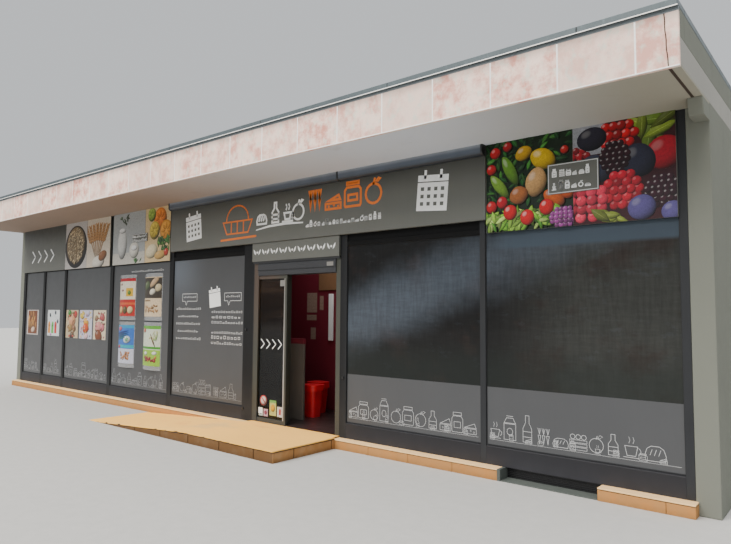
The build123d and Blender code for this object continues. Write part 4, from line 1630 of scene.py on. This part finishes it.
def garden(low, high):
    """Vegetables among leaves: the left half of the right-hand picture."""
    art = Print((low.x + 0.004, low.z), (6.15, high.z), low.y, (14, 36, 16))
    draw = random.Random(5)
    art.foliage(0, 0.26, 1, 1, 170, 0.12,
                ((30, 100, 34), (16, 60, 22), (62, 134, 42), (24, 82, 30)), draw)
    for x, z, wide, tall, colour, angle in (
            (0.12, 0.88, 0.13, 0.13, (202, 20, 26), 0), (0.27, 0.93, 0.11, 0.11, (178, 14, 26), 0),
            (0.07, 0.7, 0.12, 0.12, (208, 26, 30), 0), (0.92, 0.8, 0.09, 0.09, (196, 30, 24), 0),
            (0.68, 0.74, 0.3, 0.22, (226, 186, 22), -0.5),
            (0.46, 0.83, 0.2, 0.16, (206, 160, 20), 0.4),
            (0.3, 0.66, 0.38, 0.13, (104, 156, 40), -1.1),
            (0.17, 0.5, 0.34, 0.12, (132, 178, 56), -0.9),
            (0.86, 0.53, 0.25, 0.22, (198, 132, 74), -0.3),
            (0.6, 0.5, 0.24, 0.32, (222, 172, 110), -0.2),
            (0.4, 0.38, 0.22, 0.2, (188, 112, 56), 0.3),
            (0.8, 0.31, 0.26, 0.17, (216, 98, 24), -0.6),
            (0.95, 0.36, 0.16, 0.15, (206, 84, 20), 0), (0.2, 0.32, 0.13, 0.14, (206, 20, 40), 0.2),
            (0.07, 0.28, 0.13, 0.14, (212, 24, 30), 0.2)):
        art.round(x, z, wide, tall, colour, angle, 0.7, 22, 0.15)
    art.foliage(0, 0.03, 0.92, 0.2, 120, 0.15,
                ((128, 196, 44), (168, 222, 74), (88, 166, 40), (196, 230, 116)), draw)
    art.cluster(0.9, 0.1, 0.3, 0.2, 0.05, (150, 62, 140), draw)
    for x, z in ((0.5, 0.13), (0.72, 0.22), (0.3, 0.2)):
        art.round(x, z, 0.16, 0.17, (222, 20, 24), 0.1, 0.9)
    art.piece("garden_picture")


def orchard(low, high):
    """Dark and red fruit with a pale corner: the right half of the right-hand picture."""
    art = Print((6.154, low.z), (high.x - 0.003, high.z), low.y, (58, 18, 26))
    draw = random.Random(6)
    art.band(0, 0.7, 0.34, 1, (158, 160, 168))
    art.foliage(0.66, 0.8, 0.98, 0.98, 9, 0.36, ((128, 150, 48), (100, 128, 40)), draw)
    art.cluster(0.46, 0.86, 0.4, 0.26, 0.085, (196, 16, 30), draw)
    art.cluster(0.07, 0.64, 0.24, 0.3, 0.07, (170, 16, 34), draw)
    for x, z, wide, tall, colour, angle in (
            (0.9, 0.62, 0.34, 0.32, (176, 18, 40), 0.3), (0.2, 0.86, 0.3, 0.24, (38, 36, 52), 0.1),
            (0.66, 0.58, 0.3, 0.34, (44, 46, 66), 0.5),
            (0.24, 0.55, 0.34, 0.28, (62, 66, 88), -0.4)):
        art.round(x, z, wide, tall, colour, angle, 0.3)
    art.cluster(0.43, 0.64, 0.3, 0.32, 0.062, (48, 12, 26), draw)
    art.cluster(0.5, 0.31, 0.38, 0.36, 0.085, (190, 22, 46), draw, 0.3)
    art.cluster(0.14, 0.24, 0.42, 0.42, 0.1, (236, 56, 84), draw, 0.4)
    art.cluster(0.88, 0.26, 0.34, 0.3, 0.062, (54, 14, 32), draw)
    art.foliage(0.24, 0.02, 0.44, 0.1, 6, 0.24, ((150, 166, 60),), draw)
    for x, z, wide in ((0.68, 0.12, 0.26), (0.96, 0.06, 0.2)):
        art.round(x, z, wide, wide * 0.94, (92, 82, 142), 0.2, 0.3)
    art.piece("orchard_picture")


def bakery(low, high):
    """A bowl of grain and ears of corn on cream: the far left pictures."""
    middle = (low.x + high.x) / 2
    draw = random.Random(7)
    bowl = Print((low.x + 0.003, low.z), (middle - 0.004, high.z), low.y, (196, 190, 186))
    bowl.round(0.5, 0.47, 0.98, 0.92, (44, 34, 32), 0, 0.4, 32)
    bowl.round(0.5, 0.5, 0.84, 0.8, (150, 126, 92), 0, 0.0, 32)
    for _ in range(220):
        angle, reach = draw.uniform(0, math.tau), math.sqrt(draw.random()) * 0.37
        bowl.round(0.5 + math.cos(angle) * reach, 0.5 + math.sin(angle) * reach, 0.085, 0.035,
                   toned((206, 184, 146), draw.uniform(0.7, 1.15)),
                   draw.uniform(0, math.pi), 0.2, 8)
    bowl.piece("grain_picture")
    corn = Print((middle + 0.004, low.z), (high.x - 0.003, high.z), low.y, (224, 210, 190))
    for step in range(7):
        lean = -0.5 + step * 0.16
        corn.round(0.46 + lean * 0.5, 0.5, 0.72, 0.035, (176, 128, 74), math.pi / 2 - lean,
                   0.1, 12, 0.4)
        for ear in range(6):
            x = 0.46 + lean * (0.62 + ear * 0.07)
            z = 0.58 + ear * 0.06 - abs(lean) * 0.1
            for side in (-1, 1):
                corn.round(x + side * 0.03, z, 0.1, 0.05, (198, 142, 78),
                           math.pi / 2 - lean - side * 0.5, 0.2, 10, 0.6)
    corn.round(0.52, 0.1, 0.5, 0.26, (232, 226, 214), 0.1, 0.1, 20)
    corn.round(0.7, 0.22, 0.34, 0.2, (150, 96, 52), 0.3, 0.2, 20)
    corn.piece("corn_picture")


def larder(low, high):
    """A milk jug on grey, and orange and green slices on cream: the near left pictures."""
    split = -1.845
    milk = Print((low.x + 0.003, low.z), (split - 0.004, high.z), low.y, (176, 180, 180))
    milk.band(0.0, 0.0, 1.0, 0.22, (206, 202, 192))
    milk.round(0.3, 0.4, 0.34, 0.6, (226, 226, 222), 0, 0.3, 24)
    milk.round(0.3, 0.66, 0.24, 0.1, (240, 240, 238), 0, 0.1, 20)
    milk.round(0.68, 0.26, 0.34, 0.32, (232, 228, 216), 0.1, 0.2, 24)
    milk.round(0.68, 0.3, 0.22, 0.1, (250, 250, 248), 0, 0.0, 18)
    draw = random.Random(8)
    milk.foliage(0.22, 0.8, 0.55, 0.94, 9, 0.13, ((120, 140, 110), (90, 116, 84)), draw)
    milk.foliage(0.7, 0.04, 0.9, 0.12, 5, 0.14, ((70, 130, 60),), draw)
    milk.piece("milk_picture")
    slices = Print((split + 0.004, low.z), (high.x - 0.003, high.z), low.y, (228, 200, 150))
    for x, z, size, shade in ((0.6, 0.78, 0.42, (226, 124, 34)), (0.84, 0.55, 0.4, (222, 150, 40)),
                              (0.38, 0.58, 0.34, (214, 186, 60)), (0.26, 0.88, 0.26, (150, 178, 70))):
        slices.round(x, z, size, size, shade, 0, 0.3, 24)
        slices.round(x, z, size * 0.86, size * 0.86, [min(255, c + 26) for c in shade], 0, 0.0, 24)
        for spoke in range(8):
            angle = spoke * math.tau / 8
            slices.round(x + math.cos(angle) * size * 0.24 * slices.tall / slices.wide,
                         z + math.sin(angle) * size * 0.24, size * 0.34, size * 0.16,
                         shade, angle, 0.1, 10, 0.7)
    slices.foliage(0.5, 0.2, 0.95, 0.42, 16, 0.2, ((96, 150, 60), (60, 116, 48)), draw)
    slices.round(0.28, 0.2, 0.4, 0.26, (240, 226, 186), 0.2, 0.3, 20)
    slices.round(0.62, 0.12, 0.36, 0.16, (214, 172, 96), 0.1, 0.3, 20)
    slices.round(0.86, 0.16, 0.14, 0.14, (196, 60, 40), 0.1, 0.7, 16)
    slices.piece("citrus_picture")


class SHOP_OT_posters(bpy.types.Operator):
    """Five small posters on the left panes and the prints in the bowed holders."""

    bl_idname = "shop.posters"
    bl_label = "Posters"

    def execute(self, context):
        face = glass_front - VINYL
        foot, head = 1.205, 1.775
        draw = random.Random(9)
        bread = Print((-6.965, foot), (-6.355, head), face, (206, 196, 190))
        bread.band(0.1, 0.04, 0.9, 0.97, (120, 66, 34))
        for _ in range(16):
            bread.round(draw.uniform(0.15, 0.85), draw.uniform(0.35, 0.95), 0.3, 0.13,
                        toned((206, 146, 74), draw.uniform(0.7, 1.1)),
                        draw.uniform(1.0, 2.1), 0.2, 16, 0.2)
        bread.round(0.55, 0.2, 0.36, 0.24, (222, 190, 168), 0.2, 0.2)
        bread.piece("bread_poster")

        iced = Print((-5.87, foot), (-5.29, head), face, (226, 232, 232))
        for x, shade in ((0.16, (232, 150, 46)), (0.44, (96, 190, 74)), (0.7, (216, 44, 40))):
            iced.band(x - 0.1, 0.1, x + 0.08, 0.46, shade)
            iced.round(x - 0.01, 0.46, 0.17, 0.2, shade, 0, 0.4, 16)
        for x, z in ((0.22, 0.8), (0.66, 0.9), (0.86, 0.56)):
            iced.round(x, z, 0.13, 0.17, (44, 52, 66), 0.4, 0.4, 14)
        iced.round(0.3, 0.05, 0.14, 0.08, (208, 84, 196), 0, 0.2, 12)
        iced.piece("ices_poster")

        plates = (
            ("salad_poster", (-4.965, -4.425), (206, 186, 150),
             ((0.3, 0.88, 0.3, (60, 128, 50)), (0.75, 0.84, 0.34, (196, 62, 52)),
              (0.52, 0.6, 0.5, (222, 158, 112)), (0.36, 0.36, 0.34, (168, 132, 74)),
              (0.68, 0.34, 0.3, (148, 100, 62)), (0.5, 0.08, 0.36, (70, 44, 34)))),
            ("fruit_poster", (-4.355, -3.82), (206, 204, 220),
             ((0.22, 0.82, 0.36, (226, 196, 72)), (0.66, 0.88, 0.28, (196, 190, 214)),
              (0.52, 0.56, 0.42, (232, 172, 44)), (0.5, 0.36, 0.46, (216, 84, 24)),
              (0.55, 0.1, 0.3, (234, 196, 200)))),
            ("ham_poster", (-3.765, -3.26), (226, 210, 180),
             ((0.72, 0.76, 0.34, (190, 84, 86)), (0.24, 0.72, 0.26, (146, 122, 84)),
              (0.4, 0.42, 0.48, (220, 150, 142)), (0.72, 0.4, 0.34, (212, 120, 128)),
              (0.44, 0.12, 0.52, (128, 68, 34)))))
        for name, (start, end), back, rounds in plates:
            art = Print((start, foot - 0.02), (end, head), face, back)
            for x, z, size, shade in rounds:
                art.round(x, z, size, size * 0.8, shade, draw.uniform(-0.5, 0.5), 0.4, 20, 0.05)
            for _ in range(26):
                shade = toned(draw.choice(rounds)[3], draw.uniform(0.6, 1.2))
                art.round(draw.uniform(0.08, 0.92), draw.uniform(0.06, 0.94), 0.11, 0.06, shade,
                          draw.uniform(0, math.pi), 0.3, 10)
            art.piece(name)

        dress(clear_acrylic, "poster_holders")
        sheets = zip(solids("poster_holders"), (blue_sheet, red_sheet, green_sheet, brown_sheet))
        for (low, high), kind in sheets:
            centre, half = (low.x + high.x) / 2, (high.x - low.x) / 2
            start, end = (low.x + 0.016, low.z + 0.075), (high.x - 0.016, high.z - 0.065)
            art = kind(start, end, high.y - VINYL, draw)
            art.bow(centre, half + 0.002, high.y - low.y)
            art.piece(kind.__name__)
        return {"FINISHED"}


def red_sheet(start, end, face, draw):
    """White and red: tins above, a plate below."""
    art = Print(start, end, face, (226, 216, 196))
    art.band(0, 0.92, 1, 1, (176, 24, 34))
    art.band(0, 0.0, 1, 0.44, (186, 44, 34))
    art.band(0, 0.3, 1, 0.36, (214, 96, 50))
    for x, z in ((0.2, 0.84), (0.3, 0.68)):
        art.round(x, z, 0.12, 0.06, (120, 40, 44), 0, 0.3)
    art.band(0.54, 0.52, 0.9, 0.74, (214, 172, 34))
    art.round(0.72, 0.62, 0.13, 0.12, (92, 128, 52), 0, 0.3)
    for x, shade in ((0.2, (226, 190, 120)), (0.5, (96, 84, 40)), (0.78, (222, 196, 140))):
        art.round(x, 0.16, 0.22, 0.2, shade, 0.2, 0.4)
    return art


def brown_sheet(start, end, face, draw):
    """Dark still life above, cream table below."""
    art = Print(start, end, face, (222, 200, 166))
    art.band(0, 0.46, 1, 0.98, (58, 50, 40))
    art.round(0.24, 0.78, 0.32, 0.22, (84, 100, 62), 0.2, 0.4)
    art.round(0.66, 0.86, 0.4, 0.16, (196, 164, 126), 0.6, 0.3)
    art.round(0.58, 0.62, 0.26, 0.16, (222, 216, 196), 0.2, 0.5)
    art.round(0.86, 0.72, 0.22, 0.2, (206, 190, 150), 0.4, 0.4)
    for _ in range(22):
        art.round(draw.uniform(0.12, 0.88), draw.uniform(0.12, 0.3), 0.1, 0.05,
                  toned((184, 136, 82), draw.uniform(0.7, 1.1)),
                  draw.uniform(0, math.pi), 0.3, 10)
    art.band(0.06, 0.38, 0.48, 0.42, (130, 104, 70))
    return art


def blue_sheet(start, end, face, draw):
    """Blue waves above, white below."""
    art = Print(start, end, face, (58, 112, 196))
    art.band(0, 0.92, 1, 1, (44, 150, 196))
    art.round(0.2, 0.9, 0.24, 0.12, (206, 96, 110), 0.1, 0.2)
    for step in range(4):
        art.round(0.3, 0.8 - step * 0.05, 0.75, 0.05, (30, 52 + step * 18, 120), 0.15, 0.1,
                  18, 0.5)
    art.round(0.66, 0.62, 0.3, 0.2, (206, 222, 226), 0.1, 0.5)
    art.round(0.66, 0.62, 0.15, 0.1, (110, 168, 120), 0.1, 0.4)
    art.band(0, 0.4, 1, 0.48, (40, 170, 186))
    art.round(0.14, 0.43, 0.16, 0.09, (206, 40, 74), 0, 0.3)
    art.band(0, 0.0, 1, 0.38, (204, 206, 222))
    for _ in range(16):
        art.round(draw.uniform(0.25, 0.8), draw.uniform(0.12, 0.28), 0.1, 0.07,
                  toned((196, 132, 78), draw.uniform(0.7, 1.1)),
                  draw.uniform(0, math.pi), 0.3, 10)
    return art


def green_sheet(start, end, face, draw):
    """Green borders, a sprig on white and berries on green."""
    art = Print(start, end, face, (214, 222, 200))
    art.band(0, 0.92, 1, 1, (96, 168, 52))
    art.round(0.14, 0.88, 0.16, 0.12, (196, 88, 56), 0, 0.3)
    art.round(0.66, 0.64, 0.4, 0.06, (104, 74, 48), 2.1, 0.1, 14, 0.4)
    art.foliage(0.5, 0.58, 0.9, 0.84, 8, 0.16, ((150, 176, 110), (188, 190, 140)), draw)
    art.band(0, 0.42, 1, 0.48, (70, 150, 44))
    art.band(0, 0.0, 1, 0.4, (150, 196, 60))
    for _ in range(20):
        art.round(draw.uniform(0.12, 0.9), draw.uniform(0.12, 0.24), 0.08, 0.08,
                  toned(draw.choice(((150, 34, 44), (196, 120, 60))), draw.uniform(0.7, 1.1)),
                  0, 0.5, 10)
    art.round(0.26, 0.31, 0.18, 0.09, (232, 236, 226), 0, 0.3)
    art.round(0.76, 0.32, 0.18, 0.09, (226, 232, 222), 0, 0.3)
    return art


class SHOP_OT_door_surround(bpy.types.Operator):
    """Jambs, header, side light, its stickers and the lock caps."""

    bl_idname = "shop.door_surround"
    bl_label = "Door surround"

    def execute(self, context):
        dress(door_aluminium, "door_jambs", "side_light_rails", ease=0.0015)
        header_low, header_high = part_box("door_header")
        single("header_frame_strip",
               (header_low.x + 0.002, header_low.y + 0.007, header_low.z + 0.002),
               (header_high.x - 0.002, header_low.y + 0.009, header_low.z + 0.076),
               operator_case, 0.0005)
        dress(operator_case, "door_header", "door_operator", ease=0.0015)
        dress(door_aluminium, "side_light_stile", ease=0.0015)
        dress(window_glass, "side_light_glass")
        dress(black_cap, "lock_knobs")
        dress(steel_fittings, "roller_track", "floor_guide")

        single("header_plate",
               (header_high.x - 0.16, header_low.y - 0.0012, header_high.z - 0.11),
               (header_high.x - 0.04, header_low.y + 0.001, header_high.z - 0.055),
               bright_aluminium, 0.0004)
        line = bmesh.new()
        block(line, (jamb_edge - 1.76, header_low.y - 0.004, header_high.z - 0.018),
              (jamb_edge, header_low.y - 0.0005, header_high.z + 0.014))
        block(line, (header_low.x + 0.002, header_low.y - 0.001, header_low.z + 0.074),
              (header_high.x - 0.002, header_low.y + 0.008, header_low.z + 0.084))
        piece("header_shadow_gap", line, black_cap)

        left, right = solids("door_jambs")
        glass_low, glass_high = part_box("side_light_glass")
        seals = bmesh.new()
        # The left seal is widened to 10 mm, so its black stands in as painted shade in the slot
        # beside the post.
        for x, wide, (low, high) in ((left[0].x, 0.01, left), (right[1].x, 0.003, right)):
            block(seals, (x - wide, low.y - 0.0015, low.z), (x + 0.003, low.y + 0.003, high.z))
        stile_low, stile_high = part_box("side_light_stile")
        block(seals, (stile_high.x - 0.006, stile_low.y - 0.001, stile_low.z),
              (stile_high.x, stile_low.y + 0.002, stile_high.z))
        piece("door_seals_and_slot_shade", seals, black_gasket)
        edge = bmesh.new()
        block(edge, (stile_low.x + 0.001, stile_low.y - 0.0012, stile_low.z),
              (stile_low.x + 0.021, stile_low.y + 0.001, stile_high.z), 0.0004)
        block(edge, (1.775, glass_low.y - 0.0012, 2.135), (1.875, glass_low.y + 0.001, 2.225))
        piece("side_light_worn_edge", edge, bright_aluminium)

        face = glass_low.y
        white = Vinyl(face)
        for step in range(4):
            chevron(white, 1.375 + step * 0.125, 1.287, 0.075, 0.135, 0.013)
        white.fill(box_points(1.345, 0.262, 0.085, 0.085))
        white.piece("side_light_vinyl", white_vinyl, "window_glass")

        cards = Print((1.335, 0.215), (glass_high.x - 0.003, 0.53), face)
        cards.round(0.22, 0.76, 0.5, 0.5, (196, 40, 44), 0, 0, 28)
        cards.round(0.22, 0.76, 0.38, 0.38, (230, 226, 220), 0, 0, 28)
        cards.round(0.22, 0.76, 0.44, 0.07, (196, 40, 44), -0.8, 0, 8)
        cards.band(0.03, 0.04, 0.2, 0.38, (196, 206, 200))
        cards.round(0.115, 0.21, 0.2, 0.2, (70, 120, 130), 0, 0, 14)
        cards.band(0.23, 0.04, 0.4, 0.38, (216, 176, 190))
        cards.round(0.315, 0.21, 0.2, 0.2, (150, 60, 90), 0, 0, 14)
        cards.band(0.47, 0.12, 0.73, 0.82, (206, 204, 120))
        cards.round(0.6, 0.46, 0.3, 0.34, (226, 170, 40), 0, 0, 16)
        cards.band(0.47, 0.7, 0.73, 0.82, (120, 176, 90))
        cards.band(0.77, 0.1, 0.99, 0.56, (222, 216, 210))
        cards.band(0.84, 0.2, 0.92, 0.46, (186, 60, 60))
        cards.piece("side_light_cards", "window_glass")
        return {"FINISHED"}


class SHOP_OT_door_leaf(bpy.types.Operator):
    """The sliding leaf with its hangers and rollers."""

    bl_idname = "shop.door_leaf"
    bl_label = "Sliding leaf"

    def execute(self, context):
        dress(door_aluminium, "leaf_rails", "leaf_stiles", ease=0.0015)
        dress(window_glass, "leaf_glass")
        dress(steel_fittings, "leaf_hangers")
        dress(roller_nylon, "leaf_rollers")
        glass_low, glass_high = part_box("leaf_glass")
        seals = bmesh.new()
        for back, front in ((glass_low.y, glass_low.y - 0.004),
                            (glass_high.y, glass_high.y + 0.004)):
            ring(seals, (glass_low.x, glass_low.z), (glass_high.x, glass_high.z), 0.008, back,
                 front)
        piece("leaf_gaskets", seals, black_gasket, body="door_leaf")
        return {"FINISHED"}


class SHOP_OT_lobby(bpy.types.Operator):
    """Red lobby wall, screen, bins and what hangs on the wall."""

    bl_idname = "shop.lobby"
    bl_label = "Lobby"

    def execute(self, context):
        dress(red_wall, "lobby_wall", ease=0.002)
        dress(cabinet_grey, "lobby_screen", ease=0.004)
        dress(red_plastic, "bin_bodies", "bin_lids")
        face = lobby_low.y
        notices = bmesh.new()
        for x0, z0, x1, z1 in ((0.864, 1.757, 1.102, 2.097), (0.862, 1.625, 1.093, 1.719),
                               (1.169, 1.801, 1.255, 2.041), (0.96, 1.3, 1.08, 1.5)):
            block(notices, (x0, face - 0.002, z0), (x1, face, z1), 0.0005)
        piece("wall_notices", notices, paper)
        single("wall_board", (1.157, face - 0.02, 2.136), (1.64, face, 2.76),
               notice_board, 0.003)
        single("wall_fittings", (1.395, face - 0.03, 1.29), (1.495, face, 2.072),
               white_vinyl, 0.008)

        low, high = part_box("lobby_screen")
        single("screen_top", (low.x - 0.004, low.y - 0.006, high.z - 0.075),
               (high.x + 0.004, high.y + 0.006, high.z + 0.004), red_wall,
               0.003)
        return {"FINISHED"}


OPERATORS = (SHOP_OT_stage, SHOP_OT_masonry, SHOP_OT_canopy, SHOP_OT_plinth, SHOP_OT_platform,
             SHOP_OT_shopfront, SHOP_OT_windows, SHOP_OT_drawings, SHOP_OT_sign,
             SHOP_OT_pictures, SHOP_OT_posters, SHOP_OT_door_surround, SHOP_OT_door_leaf,
             SHOP_OT_lobby)
GROUPS = {"shop_colours": ShopColours, "shop_sizes": ShopSizes, "shop_stage": ShopStage}


class SHOP_PT_pieces(bpy.types.Panel):
    """Lists the shop's pieces and settings in the sidebar."""

    bl_idname = "SHOP_PT_pieces"
    bl_label = "Street supermarket"
    bl_space_type = "VIEW_3D"
    bl_region_type = "UI"
    bl_category = "Shop"

    def draw(self, context):
        for operator in OPERATORS:
            self.layout.operator(operator.bl_idname)
        for group, kind in GROUPS.items():
            settings = getattr(context.scene, group)
            for name in kind.__annotations__:
                self.layout.prop(settings, name)


def register():
    """Adds the classes and the scene's settings."""
    for kind in (*GROUPS.values(), *OPERATORS, SHOP_PT_pieces):
        bpy.utils.register_class(kind)
    for name, kind in GROUPS.items():
        setattr(bpy.types.Scene, name, PointerProperty(type=kind))


def unregister():
    """Takes the classes and settings away again."""
    for name in GROUPS:
        delattr(bpy.types.Scene, name)
    for kind in reversed((*GROUPS.values(), *OPERATORS, SHOP_PT_pieces)):
        bpy.utils.unregister_class(kind)


def main():
    """Builds every piece in order."""
    register()
    for operator in OPERATORS:
        group, name = operator.bl_idname.split(".")
        getattr(getattr(bpy.ops, group), name)()


if __name__ == "__main__":
    main()
